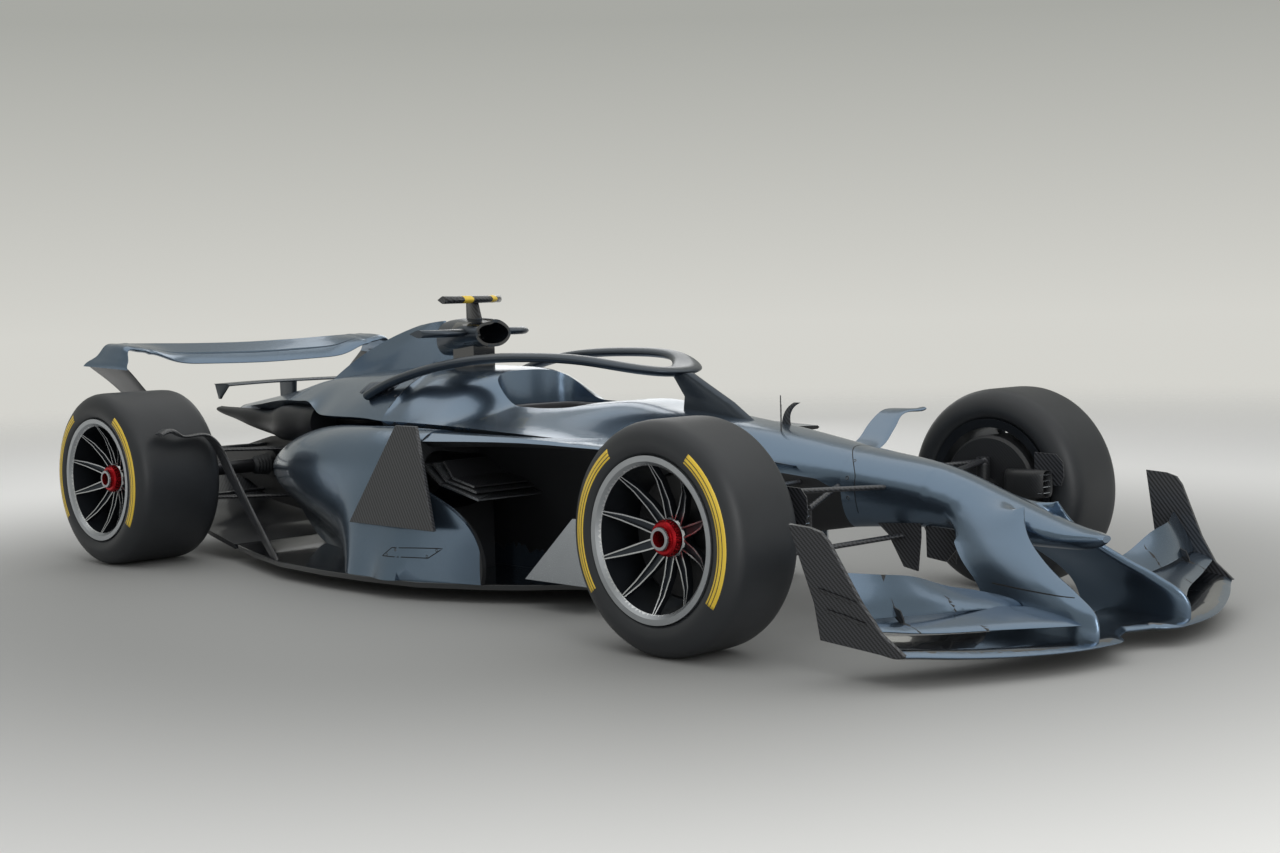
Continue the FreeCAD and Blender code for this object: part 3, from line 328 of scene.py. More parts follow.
world = bpy.data.worlds.new("studio")
bpy.context.scene.world = world
world.use_nodes = True
tree = world.node_tree
tree.nodes.clear()
heights = add(tree, "ShaderNodeSeparateXYZ", {0: add(tree, "ShaderNodeTexCoord").outputs["Generated"]})
rise = add(tree, "ShaderNodeMapRange", {"Value": heights.outputs["Z"], "From Min": -0.02, "From Max": 0.13})
sky = two_tone(tree, sky_low, sky_high, rise.outputs[0])
seen = add(tree, "ShaderNodeBackground", {"Color": sky, "Strength": 1.0})
fill = add(tree, "ShaderNodeBackground", {"Color": (0.78, 0.79, 0.8, 1.0), "Strength": 0.62})
rays = add(tree, "ShaderNodeLightPath")
direct = calc(tree, "MAXIMUM", rays.outputs["Is Camera Ray"],
              calc(tree, "MAXIMUM", rays.outputs["Is Glossy Ray"], rays.outputs["Is Transmission Ray"]))
choice = add(tree, "ShaderNodeMixShader", {0: direct, 1: fill.outputs[0], 2: seen.outputs[0]})
add(tree, "ShaderNodeOutputWorld", {0: choice.outputs[0]})


def link(name, mesh):
    made = bpy.data.objects.new(name, mesh)
    bpy.context.scene.collection.objects.link(made)
    return made


def mesh_from(work, name):
    """Keeps a finished edit mesh as a plain mesh."""
    mesh = bpy.data.meshes.new(name)
    work.to_mesh(mesh)
    work.free()
    return mesh


disc = bmesh.new()
bmesh.ops.create_circle(disc, cap_ends=True, radius=16.0, segments=96)
ground = link("studio_floor", mesh_from(disc, "studio_floor"))
floor_look, tree, shader, coords = finish("studio_floor", shadow_and_floor_tones[0], 0.6, Specular_IOR_Level=0.2)
reach = add(tree, "ShaderNodeVectorMath", {0: coords.outputs["Object"]}, operation="LENGTH")
# Near the car the floor takes the first tone, a painted shadow that darkens towards the car; farther out
# the floor fades to clear.
painted_car_shadow, fade = [
    add(tree, "ShaderNodeMapRange",
        {"Value": reach.outputs["Value"], "From Min": near, "From Max": far},
        interpolation_type="SMOOTHSTEP").outputs[0]
    for near, far in ((1.8, 5.2), (5.5, 14.0))]
feed(tree, two_tone(tree, *shadow_and_floor_tones, painted_car_shadow), shader.inputs["Base Color"])
clear = add(tree, "ShaderNodeBsdfTransparent")
blur = add(tree, "ShaderNodeMixShader", {0: fade, 1: shader.outputs[0], 2: clear.outputs[0]})
feed(tree, blur.outputs[0], tree.nodes["Material Output"].inputs[0])
ground.data.materials.append(floor_look)


def lamp(name, place, aim, size, power):
    """A soft box at a place, turned towards a point of the car."""
    data = bpy.data.lights.new(name, "AREA")
    data.shape = "RECTANGLE"
    data.size, data.size_y = size
    data.energy = power
    link(name, data).matrix_world = Matrix.Translation(place) @ (
        (place - aim).to_track_quat("Z", "X").to_matrix().to_4x4())


lamp("overhead_box", Vector((0.3, 0.1, 4.8)), Vector((0.0, 0.0, 0.0)), (13.0, 8.0), 205.0)
lamp("front_box", Vector((7.0, -3.2, 2.6)), Vector((1.4, 0.0, 0.4)), (4.4, 2.4), 120.0)
lamp("rear_box", Vector((-5.5, 5.0, 3.2)), Vector((-0.5, 0.0, 0.6)), (4.4, 2.6), 45.0)
bpy.context.scene.view_settings.view_transform = "Standard"

# %% [markdown]
# ## Skins over the solids
# A CAD solid arrives as loose triangles. A copy with its doubled corners merged can be shaded
# smooth, keep its real creases, and take a small bevel where two faces meet, which catches light as
# a moulded edge does. The copy stands for the solid and rides on the same body.

# %% Skins
def ride_as(piece, body):
    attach(piece, body)
    return piece


@contextmanager
def reworked(mesh):
    """Opens a mesh for editing and writes the result back."""
    work = bmesh.new()
    work.from_mesh(mesh)
    yield work
    work.to_mesh(mesh)
    work.free()


def merged_mesh(node, name, flat_angle=0.0):
    """A copy of a CAD node's mesh with merged corners; flat areas may become single faces."""
    work = bmesh.new()
    work.from_mesh(nodes[node].data)
    bmesh.ops.remove_doubles(work, verts=work.verts, dist=0.00002)
    bmesh.ops.dissolve_degenerate(work, dist=0.00001, edges=work.edges)
    if flat_angle:
        bmesh.ops.dissolve_limit(work, angle_limit=math.radians(flat_angle), verts=work.verts,
                                 edges=work.edges)
    mesh = mesh_from(work, name)
    for label in ("custom_normal", "UVMap"):
        layer = mesh.attributes.get(label)
        if layer:
            mesh.attributes.remove(layer)
    mesh.materials.clear()
    return mesh


def soft_edges(mesh, crease):
    mesh.shade_smooth()
    mesh.set_sharp_from_angle(angle=math.radians(crease))


def bevel(piece, width, segments=2, limit=35.0):
    """A small rounded edge; width in metres."""
    step = piece.modifiers.new("edge", "BEVEL")
    step.width = width
    step.segments = segments
    step.limit_method = "ANGLE"
    step.angle_limit = math.radians(limit)
    step.harden_normals = True
    step.use_clamp_overlap = True


body_crease, part_crease = 38.0, 30.0
skins = {}


def skin(node, look, crease=part_crease, edge=0.0, flat_angle=0.0):
    """The smooth copy that stands for a CAD node."""
    piece = link(node + "_skin", merged_mesh(node, node + "_skin", flat_angle))
    piece.data.materials.append(look)
    soft_edges(piece.data, crease)
    if edge:
        bevel(piece, edge)
    ride_as(piece, nodes[node]["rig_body"])
    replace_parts(piece, node)
    skins[node] = piece
    return piece


def bridge(work, rings, capped=False):
    """Faces from each ring of corners to the next; caps close the two ends."""
    for ring, after in zip(rings, rings[1:]):
        for index in range(len(ring)):
            other = (index + 1) % len(ring)
            work.faces.new((ring[index], ring[other], after[other], after[index]))
    if capped:
        work.faces.new(rings[0][::-1])
        work.faces.new(rings[-1])


def finish_mesh(name, work, look, body, crease=35.0):
    """Makes a smooth piece of a finished edit mesh, which rides on a body."""
    bmesh.ops.recalc_face_normals(work, faces=work.faces)
    mesh = mesh_from(work, name)
    mesh.materials.append(look)
    soft_edges(mesh, crease)
    return ride_as(link(name, mesh), body)


def eased(piece, chosen, rounds):
    """Evens out the corners of a skin where a loft's stations show; chosen takes a place."""
    with reworked(piece.data) as work:
        near = [corner for corner in work.verts if chosen(corner.co - car(0, 0, 0))]
        for step in range(rounds):
            bmesh.ops.smooth_vert(work, verts=near, factor=0.5,
                                  use_axis_x=True, use_axis_y=True, use_axis_z=True)
    soft_edges(piece.data, body_crease)
    print(piece.name, "eased", len(near), "corners")


flowing = [
    (paint, ["survival_cell", "nose_cone", "front_wing_main", "front_wing_flaps", "engine_cover",
             "sidepod_right", "sidepod_left", "rear_wing", "over_wheel_fins"]),
    (satin, ["halo", "airbox", "beam_wing"]),
    (matt_carbon, ["tail_ducts"]),
    (carbon, ["rear_wing_supports", "rear_strut_blades", "front_suspension", "rear_suspension",
              "cameras", "diffuser", "turning_vanes", "antennas"])]
for look, names in flowing:
    for node in names:
        skin(node, look, body_crease)
skin("front_wing_endplates", carbon, edge=0.0015, flat_angle=1.0)
print("painted and carbon skins", len(skins))

# %% [markdown]
# The carbon panels lean on the shoulders of the sidepods. They are drawn here as whole plates, a few
# millimetres prouder than the solids, where the pod's bulge would show through.

# %% Side panels
panel_corners = [(-0.197, 0.757, 0.262), (0.309, 0.757, 0.262),
                 (0.081, 0.647, 0.622), (-0.041, 0.647, 0.622)]
panel_thickness = 0.016
panel_edge = 0.0025
work = bmesh.new()
for side in hands.values():
    faces = [[work.verts.new(car(x, side * (y - inset), z)) for x, y, z in panel_corners]
             for inset in (0.0, panel_thickness)]
    bridge(work, faces, capped=True)
side_panels = finish_mesh("side_panels_skin", work, carbon, nodes["side_panels"]["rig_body"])
bevel(side_panels, panel_edge)
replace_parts(side_panels, "side_panels")
skins["side_panels"] = side_panels
print("side panels", len(side_panels.data.polygons), "faces")

# %% [markdown]
# The floor, the seat, the machinery and the wheels' carriers are dark, and the inlet's vanes and the
# deflectors are bright.

# %% Dark and bright skins
skin("floor", gloss_black, edge=0.002, flat_angle=1.0)
skin("gearbox_case", matt_carbon, edge=0.004, flat_angle=1.0)
skin("engine_block", steel, edge=0.004, flat_angle=1.0)
for look, names in ((matt_carbon, ["rear_hub_carriers", "front_knuckle_right", "front_knuckle_left"]),
                    (steel, ["driveshaft_right", "driveshaft_left"]),
                    (bright, ["inlet_vanes", "deflectors"]),
                    (matt_carbon, ["seat"]),
                    (grip, ["steering_wheel"])):
    for node in names:
        skin(node, look)
print("skins", len(skins))

# %% [markdown]
# ## Tyres
# A slick tyre is a shape of revolution, so it is turned from one half of its outline. The solid has
# chamfers for shoulders; here they are one round, from the flange over the bulge of the sidewall to
# the tread.

# %% Tyres
bead_radius, bead_inset = 0.2326, 0.030
wall_outline = [(0.022, 0.2555), (0.013, 0.2585), (0.006, 0.268), (0.0018, 0.281), (0.0005, 0.293),
                (0.0022, 0.306), (0.0072, 0.321), (0.0150, 0.3350), (0.0250, 0.3460), (0.0360, 0.3535),
                (0.0500, 0.3580), (0.0700, 0.3597), (0.0950, 0.3600)]


def depth_at(line, radius, beyond):
    """The depth at a radius, read off a line of (radius, depth) points; past its ends it is beyond."""
    for (low, near), (high, far) in zip(line, line[1:]):
        if low <= radius <= high:
            return near + (far - near) * (radius - low) / (high - low)
    return beyond


def wheel_body(place, hand):
    return place + "_wheel_" + hand


def turned_tyre(place, hand, outline, segments=160):
    """Turns a closed outline of (depth from the outer face, radius) points about a wheel's axle."""
    side = hands[hand]
    work = bmesh.new()
    angles = [2 * math.pi * step / segments for step in range(segments)]
    rings = [[work.verts.new((axles[place] + radius * math.sin(angle), side * (tyre_face - depth),
                              axle_height + radius * math.cos(angle))) for angle in angles]
             for depth, radius in outline]
    bridge(work, rings + rings[:1])
    return finish_mesh(place + "_tyre_" + hand + "_rubber", work, rubber, wheel_body(place, hand),
                       50.0)


for place, hand, side in wheels:
    width = tyre_widths[place]
    bore = [(width - bead_inset, bead_radius), (bead_inset, bead_radius)]
    other = [(width - depth, radius) for depth, radius in reversed(wall_outline)]
    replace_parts(turned_tyre(place, hand, wall_outline + other + bore), place + "_tyre_" + hand)
print("tyres turned")

# %% [markdown]
# The compound is marked by two long arcs of paint on each outer sidewall. Their corners stand a tenth
# of a millimetre off the wall. Where the wall bends between two of them, a hair of rubber comes
# through as a fine line along the arc.

# %% Painted arcs on the sidewalls
arc_from, arc_to = math.radians(-35.0), math.radians(57.0)
arc_inner, arc_outer = 0.286, 0.318
arc_rise, arc_thickness = 0.0001, 0.0008
wall_line = [(radius, depth) for depth, radius in wall_outline]


def arc_mesh(name, place, side):
    work = bmesh.new()
    around, outward = 48, 6
    for mirror in (1, -1):
        grid = []
        for step in range(around + 1):
            angle = arc_from + (arc_to - arc_from) * step / around
            row = []
            for part in range(outward + 1):
                radius = arc_inner + (arc_outer - arc_inner) * part / outward
                row.append(work.verts.new((
                    axles[place] + mirror * radius * math.cos(angle),
                    side * (tyre_face - depth_at(wall_line, radius, 0.0) + arc_rise),
                    axle_height + radius * math.sin(angle))))
            grid.append(row)
        for row, beyond in zip(grid, grid[1:]):
            for part in range(outward):
                work.faces.new((row[part], row[part + 1], beyond[part + 1], beyond[part]))
    bmesh.ops.recalc_face_normals(work, faces=work.faces)
    for face in work.faces:
        if face.normal.y * side < 0:
            face.normal_flip()
    return mesh_from(work, name)


for place, hand, side in wheels:
    mesh = arc_mesh(place + "_tyre_arcs_" + hand, place, side)
    mesh.materials.append(yellow)
    soft_edges(mesh, 60.0)
    piece = link(mesh.name, mesh)
    coat = piece.modifiers.new("thickness", "SOLIDIFY")
    coat.thickness = arc_thickness
    coat.offset = -1.0
    ride_as(piece, wheel_body(place, hand))

# %% [markdown]
# ## Wheels
# The rim is dark satin alloy with a bright machined flange, and the front edges of its spokes are
# cut bright as well. One mesh carries all three finishes: the faces are sorted by how far they are
# from the axle and how deep they lie, which is how a lathe and a mill would reach them.

# %% Rims and nuts
spoke_line = [(0.054, 0.095), (0.1155, 0.080), (0.1770, 0.054), (0.2290, 0.016)]
spoke_band, spoke_facing = 0.003, 0.6
flange_radius, flange_depth = 0.2262, 0.03
recess_radius, recess_depth = 0.0365, 0.06
wheel_crease = 28.0


def from_axle(center, place, side):
    """How far a point is from the wheel's axle, and how deep it lies below the tyre's outer face."""
    return math.hypot(center.x - axles[place], center.z - axle_height), tyre_face - side * center.y


for place, hand, side in wheels:
    rim = skin(place + "_rim_" + hand, dark_alloy, wheel_crease)
    rim.data.materials.append(flange_alloy)
    rim.data.materials.append(machined)
    for face in rim.data.polygons:
        radius, depth = from_axle(face.center, place, side)
        from_spoke = abs(depth - depth_at(spoke_line, radius, -1.0))
        if radius > flange_radius and depth < flange_depth:
            face.material_index = 1
        elif from_spoke < spoke_band and face.normal.y * side > spoke_facing:
            face.material_index = 2
    bevel(rim, 0.0008, 1, 40.0)
    nut = skin(place + "_wheel_nut_" + hand, red_alloy, wheel_crease, edge=0.0012)
    nut.data.materials.append(flange_alloy)
    for face in nut.data.polygons:
        radius, depth = from_axle(face.center, place, side)
        if radius < recess_radius and depth < recess_depth:
            face.material_index = 1
print("rims and nuts finished")

# %% [markdown]
# ## Two finishes on one moulding
# Paint stops where the eye doesn't need it: the underside of the tub and the inside of each duct
# are bare carbon. The skin's faces are sorted by where they are and which way they look, and the
# masked ones get the second finish. A straight border is cut into the mesh first.

# %% Masked areas
def cut_across(piece, point, normal):
    """Cuts the piece's faces along a plane, so that a finish can end there in a straight line."""
    with reworked(piece.data) as work:
        bmesh.ops.bisect_plane(work, geom=work.verts[:] + work.edges[:] + work.faces[:], dist=0.00001,
                               plane_co=point, plane_no=normal)


def mask(piece, look, chosen):
    """Gives the faces that are chosen by (place from the wheelbase's middle, normal) another finish."""
    if look.name not in piece.data.materials:
        piece.data.materials.append(look)
    index = piece.data.materials.find(look.name)
    count = 0
    for face in piece.data.polygons:
        if chosen(face.center - car(0, 0, 0), face.normal):
            face.material_index = index
            count += 1
    print(piece.name, look.name, count, "faces")


tub, airbox, camera_bar = skins["survival_cell"], skins["airbox"], skins["cameras"]
mask(tub, matt_carbon, lambda p, n: n.z < -0.03 and p.z < 0.6)
mask(tub, matt_carbon, lambda p, n: -0.045 < p.x < 0.5 and abs(p.y) < 0.2125 and p.z < 0.64)
mask(tub, matt_carbon, lambda p, n: p.x < 1.06 and abs(p.y) < 0.118 and 0.25 < p.z < 0.47)
inlet_top, inlet_side, inlet_back = 0.592, 0.652, -0.2
for hand, side in hands.items():
    pod = skins["sidepod_" + hand]
    cut_across(pod, car(0, 0, inlet_top), (0, 0, 1))
    cut_across(pod, car(0, side * inlet_side, 0), (0, 1, 0))
    mask(pod, matt_carbon, lambda p, n: p.x > inlet_back and p.z < inlet_top and abs(p.y) < inlet_side
         and not (n.z > 0.1 and (p.z > 0.5 or p.x < 0.02 and n.y * side > 0.1)))
    eased(pod, lambda p: 0.0 < p.x < 0.2 and 0.10 < p.z < 0.34 and abs(p.y) > 0.66, 12)
eased(skins["nose_cone"], lambda p: 2.0 < p.x < 2.42 and 0.05 < abs(p.y) < 0.18 and p.z > 0.315, 25)
mask(airbox, gloss_black, lambda p, n: p.z < 0.89 and abs(p.y) < 0.06)
mask(airbox, gloss_black, lambda p, n: -0.4 < p.x < -0.2 and abs(p.y) < 0.083 and 0.895 < p.z < 0.987)
mask(skins["front_wing_main"], gloss_black, lambda p, n: n.x < 0.3)
mask(skins["front_wing_flaps"], matt_carbon,
     lambda p, n: min(abs(abs(p.y) - 0.545), abs(abs(p.y) - 0.755)) < 0.0032 and p.z > 0.11)
mask(skins["inlet_vanes"], matt_carbon, lambda p, n: abs(n.y) < 0.7 and (n.z < 0.0 or abs(p.y) < 0.5))
mask(skins["floor"], skid, lambda p, n: p.z < 0.0499 and abs(p.y) < 0.151)

# %% [markdown]
# The camera bar carries two yellow bands with straight borders, and what lies below it is satin grey.

# %% Bands on the camera bar
band_inner, band_outer = 0.048, 0.084
for y in (-band_outer, -band_inner, band_inner, band_outer):
    cut_across(camera_bar, car(0, y, 1.078), (0, 1, 0))
mask(camera_bar, satin, lambda p, n: p.z < 1.0)
mask(camera_bar, yellow, lambda p, n: p.z > 1.06 and band_inner < abs(p.y) < band_outer)

# %% [markdown]
# ## Placing details on a curved body
# A fastener or a louvre has to sit on the skin, not near it. A ray is sent at the skins from
# outside; where it lands gives the place and the direction that the detail faces.

# %% Seating helpers
def surface_of(*names):
    """A search tree over some skins."""
    work = bmesh.new()
    for name in names:
        work.from_mesh(skins[name].data)
    tree = BVHTree.FromBMesh(work)
    work.free()
    return tree


def landings(tree, starts, direction):
    """Where rays from the start points land, as (place, normal); misses are dropped."""
    found = []
    for start in starts:
        place, normal = tree.ray_cast(start, Vector(direction).normalized())[:2]
        if place is not None:
            found.append((place, normal if normal.dot(Vector(direction)) < 0 else -normal))
    return found


def along_line(points, spacing):
    """Points at even distances along straight runs."""
    result = []
    for start, end in zip(points, points[1:]):
        steps = max(1, round((end - start).length / spacing))
        result += [start.lerp(end, step / steps) for step in range(steps)]
    return result + [points[-1]]


def ribbon(name, landed, width, rise, look, body, sink=0.0012):
    """A thin strip that follows landed points over a surface: a seam, a trim or a strap."""
    work = bmesh.new()
    rings = []
    for index, (place, normal) in enumerate(landed):
        before = landed[max(index - 1, 0)][0]
        beyond = landed[min(index + 1, len(landed) - 1)][0]
        side = (beyond - before).cross(normal).normalized() * (width / 2)
        top, low = place + normal * rise, place - normal * sink
        rings.append([work.verts.new(corner)
                      for corner in (top - side, top + side, low + side, low - side)])
    bridge(work, rings, capped=True)
    return finish_mesh(name, work, look, body, 40.0)


# %% [markdown]
# Pieces that repeat come from two Geometry Nodes trees. One sets copies of a small piece in a ring,
# as teeth on a nut; the other sets them on points that carry a direction, as rivets on a skin. Both
# realize their copies and give them their finish, and the result is kept as a plain mesh.

# %% Trees that repeat a piece
def copies_on(tree, given, points, rotation, more=None):
    """Copies of the given piece on points, turned as the rotation says."""
    source = add(tree, "GeometryNodeObjectInfo", {"Object": given["Piece"]})
    copies = add(tree, "GeometryNodeInstanceOnPoints", {
        "Points": points, "Instance": source.outputs["Geometry"], "Rotation": rotation, **(more or {})})
    return copies.outputs[0]


def finish_copies(tree, copies, given, result):
    real = add(tree, "GeometryNodeRealizeInstances", {0: copies})
    colored = add(tree, "GeometryNodeSetMaterial", {"Geometry": real.outputs[0], "Material": given["Look"]})
    feed(tree, colored.outputs[0], result["Geometry"])


shape = ("Geometry", "Geometry")
ring_tree, given, result = node_group("ring_of_pieces", [
    shape, ("Count", "Int"), ("Radius", "Float"), ("Piece", "Object"), ("Centre", "Vector"),
    ("Turn", "Vector"), ("Look", "Material")], [shape], "Geometry")
circle = add(ring_tree, "GeometryNodeMeshCircle", {"Vertices": given["Count"], "Radius": given["Radius"]})
spot = add(ring_tree, "GeometryNodeInputPosition")
outwards = add(ring_tree, "FunctionNodeAlignRotationToVector", {"Vector": spot.outputs[0]}, axis="X")
copies = copies_on(ring_tree, given, circle.outputs[0], outwards.outputs[0])
placed = add(ring_tree, "GeometryNodeTransform",
             {"Geometry": copies, "Translation": given["Centre"], "Rotation": given["Turn"]})
finish_copies(ring_tree, placed.outputs[0], given, result)

seat_tree, given, result = node_group("pieces_on_points", [
    shape, ("Piece", "Object"), ("Size", "Float"), ("Look", "Material")], [shape], "Geometry")
facing_of = add(seat_tree, "GeometryNodeInputNamedAttribute", {"Name": "facing"}, data_type="FLOAT_VECTOR")
run_of = add(seat_tree, "GeometryNodeInputNamedAttribute", {"Name": "run"}, data_type="FLOAT_VECTOR")
stood = add(seat_tree, "FunctionNodeAlignRotationToVector",
            {"Vector": facing_of.outputs["Attribute"]}, axis="Z")
aimed = add(seat_tree, "FunctionNodeAlignRotationToVector",
            {"Rotation": stood.outputs[0], "Vector": run_of.outputs["Attribute"]}, axis="X", pivot_axis="Z")
copies = copies_on(seat_tree, given, given["Geometry"], aimed.outputs[0], {"Scale": given["Size"]})
finish_copies(seat_tree, copies, given, result)


def grown(name, tree, values, start=None):
    """Runs a tree and keeps what it makes as an object with a plain mesh."""
    piece = link(name, start or bpy.data.meshes.new(name))
    step = piece.modifiers.new("make", "NODES")
    step.node_group = tree
    for item in tree.interface.items_tree:
        if item.in_out == "INPUT" and item.name in values:
            step[item.identifier] = values[item.name]
    graph = bpy.context.evaluated_depsgraph_get()
    made = bpy.data.meshes.new_from_object(piece.evaluated_get(graph))
    piece.modifiers.clear()
    piece.data = made
    made.name = name
    print(name, len(made.polygons), "faces")
    return piece


def point_mesh(name, landed, run):
    """Points that carry the way they face and the way their pieces run."""
    mesh = bpy.data.meshes.new(name)
    mesh.from_pydata([tuple(place) for place, normal in landed], [], [])
    facing_layer = mesh.attributes.new("facing", "FLOAT_VECTOR", "POINT")
    run_layer = mesh.attributes.new("run", "FLOAT_VECTOR", "POINT")
    for index, (place, normal) in enumerate(landed):
        facing_layer.data[index].vector = normal
        run_layer.data[index].vector = run
    return mesh


def seated(name, pattern, landed, look, body, run=(1, 0, 0), size=1.0):
    points = point_mesh(name + "_points", landed, run)
    piece = grown(name, seat_tree, {"Piece": pattern, "Size": size, "Look": look}, points)
    return ride_as(piece, body)


# %% [markdown]
# The small pieces that are repeated are drawn once, about their own origin: a fastener with a round
# recess, a louvre blade, the dark slot that it leans over, and a tooth of the wheel nut.

# %% Small pieces to repeat
patterns = []


def pattern(name, work):
    bmesh.ops.recalc_face_normals(work, faces=work.faces)
    mesh = mesh_from(work, name)
    soft_edges(mesh, 35.0)
    patterns.append(link(name, mesh))
    return patterns[-1]


work = bmesh.new()
bmesh.ops.create_cone(work, cap_ends=True, segments=14, radius1=0.0075, radius2=0.0062,
                      depth=0.0022)
top = max(work.faces, key=lambda face: face.calc_center_median().z)
bmesh.ops.inset_region(work, faces=[top], thickness=0.0026)
bmesh.ops.translate(work, verts=top.verts, vec=(0, 0, -0.0012))
fastener = pattern("fastener_pattern", work)

work = bmesh.new()
blade_length, blade_reach, blade_rise = 0.075, 0.017, 0.006
profile = [(0.0, -0.001), (blade_reach * 0.5, blade_rise * 0.72), (blade_reach, blade_rise),
           (blade_reach, blade_rise - 0.0014), (blade_reach * 0.5, blade_rise * 0.72 - 0.002),
           (0.0, -0.003)]
rows = []
for share in (-1.0, -0.9, -0.6, 0.0, 0.6, 0.9, 1.0):
    lower = 0.25 + 0.75 * (1.0 - abs(share) ** 4)
    rows.append([work.verts.new((x, share * blade_length / 2, z * lower)) for x, z in profile])
bridge(work, rows, capped=True)
louvre = pattern("louvre_pattern", work)

work = bmesh.new()
bmesh.ops.create_circle(work, cap_ends=True, segments=16, radius=0.5)
for corner in work.verts:
    squarer = math.copysign(abs(2 * corner.co.y) ** 0.6, corner.co.y)
    corner.co = Vector((corner.co.x * 0.016 + 0.009, squarer * 0.036, 0.0006))
made = bmesh.ops.extrude_face_region(work, geom=work.faces[:])
for corner in made["geom"]:
    if isinstance(corner, bmesh.types.BMVert):
        corner.co.z = -0.0012
slot_plate = pattern("slot_pattern", work)

work = bmesh.new()
bmesh.ops.create_cube(work, size=1.0)
for corner in work.verts:
    taper = 0.7 if corner.co.x > 0 else 1.0
    corner.co = Vector((corner.co.x * 0.007, corner.co.y * 0.0065 * taper, corner.co.z * 0.017))
bmesh.ops.bevel(work, geom=work.edges[:], offset=0.0009, segments=1, affect="EDGES")
tooth = pattern("nut_tooth_pattern", work)
print("patterns", [piece.name for piece in patterns])

# %% [markdown]
# A ring of teeth stands round each wheel nut, where the wrench takes hold.

# %% Teeth of the wheel nuts
teeth_count, teeth_radius, teeth_depth = 22, 0.053, 0.0815
for place, hand, side in wheels:
    centre = (axles[place], side * (tyre_face - teeth_depth), axle_height)
    teeth = grown(place + "_nut_teeth_" + hand, ring_tree, {
        "Count": teeth_count, "Radius": teeth_radius, "Piece": tooth, "Centre": centre,
        "Turn": (math.pi / 2, 0.0, 0.0), "Look": red_alloy})
    ride_as(teeth, wheel_body(place, hand))

# %% [markdown]
# ## Panel joints
# The bodywork comes off in large pieces, and their joints show as fine dark lines with a row of
# fasteners beside them. A ring of rays finds the surface all round a cross-section.

# %% Joints and fasteners
seam_width, seam_rise = 0.003, 0.0003
seam_black = grained("seam_black", (0.002, 0.002, 0.0025), (0.004, 0.004, 0.005), 0.7, 0.1, 200.0, 10.0)


def around(tree, x, z, from_degrees, to_degrees, steps, reach=1.2):
    """Landings of rays that come in towards (x, 0, z) from all round."""
    found = []
    for step in range(steps + 1):
        angle = math.radians(from_degrees + (to_degrees - from_degrees) * step / steps)
        outward = Vector((0.0, math.sin(angle), math.cos(angle)))
        found += landings(tree, [car(x, 0, z) + outward * reach], -outward)
    return found


outside = 1.3  # clear of the car's side, where rays start
nose_joint, cover_joint = 1.648, -0.420
joint_sweep = 0.099
body_tree = surface_of("survival_cell", "nose_cone", "engine_cover")
swept = []
for step in range(73):
    angle = -120 + step * 240 / 72
    swing = 1.1 * math.sin(math.radians(angle)) ** 2 + max(0.0, abs(angle) / 90 - 1)
    x = nose_joint + joint_sweep * min(1.0, swing)
    swept += around(body_tree, x, 0.44, angle, angle, 1)[:1]
ribbon("nose_joint", swept, seam_width, seam_rise, seam_black, "chassis")
ribbon("cover_joint", around(body_tree, cover_joint, 0.62, -84, 84, 60), seam_width, seam_rise,
       seam_black, "chassis")
bolt_line = nose_joint + joint_sweep - 0.03
joint_bolts = around(body_tree, bolt_line, 0.44, -100, -50, 2)
joint_bolts += around(body_tree, bolt_line, 0.44, 50, 100, 2)
joint_bolts += around(body_tree, cover_joint - 0.022, 0.62, -76, 76, 9)
seated("joint_fasteners", fastener, joint_bolts, steel, "chassis")

# %% [markdown]
# The engine cover breathes through a row of louvres on each shoulder, behind the guard hoop's feet.

# %% Louvres
cover_tree = surface_of("engine_cover")
for hand, side in hands.items():
    starts = [car(-0.50 - 0.034 * step, side * (0.305 - 0.007 * step), 1.2) for step in range(8)]
    landed = landings(cover_tree, starts, (0, 0, -1))
    seated("cover_slots_" + hand, slot_plate, landed, seam_black, "chassis", run=(-1, 0, 0))
    seated("cover_louvres_" + hand, louvre, landed, satin, "chassis", run=(-1, 0, 0))

# %% [markdown]
# Each endplate has two stepped groups of slots that let air out of the corner behind the wing, and
# the foot of each nose pylon shows the joint where the wing is bolted on.

# %% Endplate slots and pylon joints
slot_places = [(2.268, 0.246), (2.308, 0.238), (2.348, 0.229),
               (2.290, 0.187), (2.332, 0.180), (2.374, 0.171)]
for hand, side in hands.items():
    tree = surface_of("front_wing_endplates")
    starts = [car(x, side * outside, z) for x, z in slot_places]
    landed = landings(tree, starts, (0, -side, 0))
    for name, piece, look in (("slots", slot_plate, seam_black), ("blades", louvre, carbon)):
        seated("endplate_" + name + "_" + hand, piece, landed, look, "chassis",
               run=(0.22, 0, 1), size=0.75)
    starts = along_line([car(2.345, side * 0.6, 0.203), car(2.66, side * 0.6, 0.187)], 0.02)
    ribbon("pylon_joint_" + hand, landings(surface_of("nose_cone"), starts, (0, -side, 0)), 0.004, 0.0003,
           seam_black, "chassis")

# %% [markdown]
# Three bent vanes guide the air in each inlet, and their outer edges are bright.

# %% Bright edges of the inlet's vanes
vane_edges = [(0.600, [(0.045, 0.482), (0.161, 0.412), (0.379, 0.368)]),
              (0.585, [(0.098, 0.484), (0.178, 0.424), (0.350, 0.392)]),
              (0.570, [(0.145, 0.494), (0.200, 0.434), (0.320, 0.410)])]
for hand, side in hands.items():
    for number, (reach_out, edge) in enumerate(vane_edges):
        landed = [(car(x, side * reach_out, z - 0.003), Vector((0, side, 0))) for x, z in edge]
        ribbon("vane_edge_%d_%s" % (number, hand), landed, 0.008, 0.0015, machined, "chassis")

# %% [markdown]
# A service hatch low on each sidepod shows as a fine outline with a fastener in each corner.

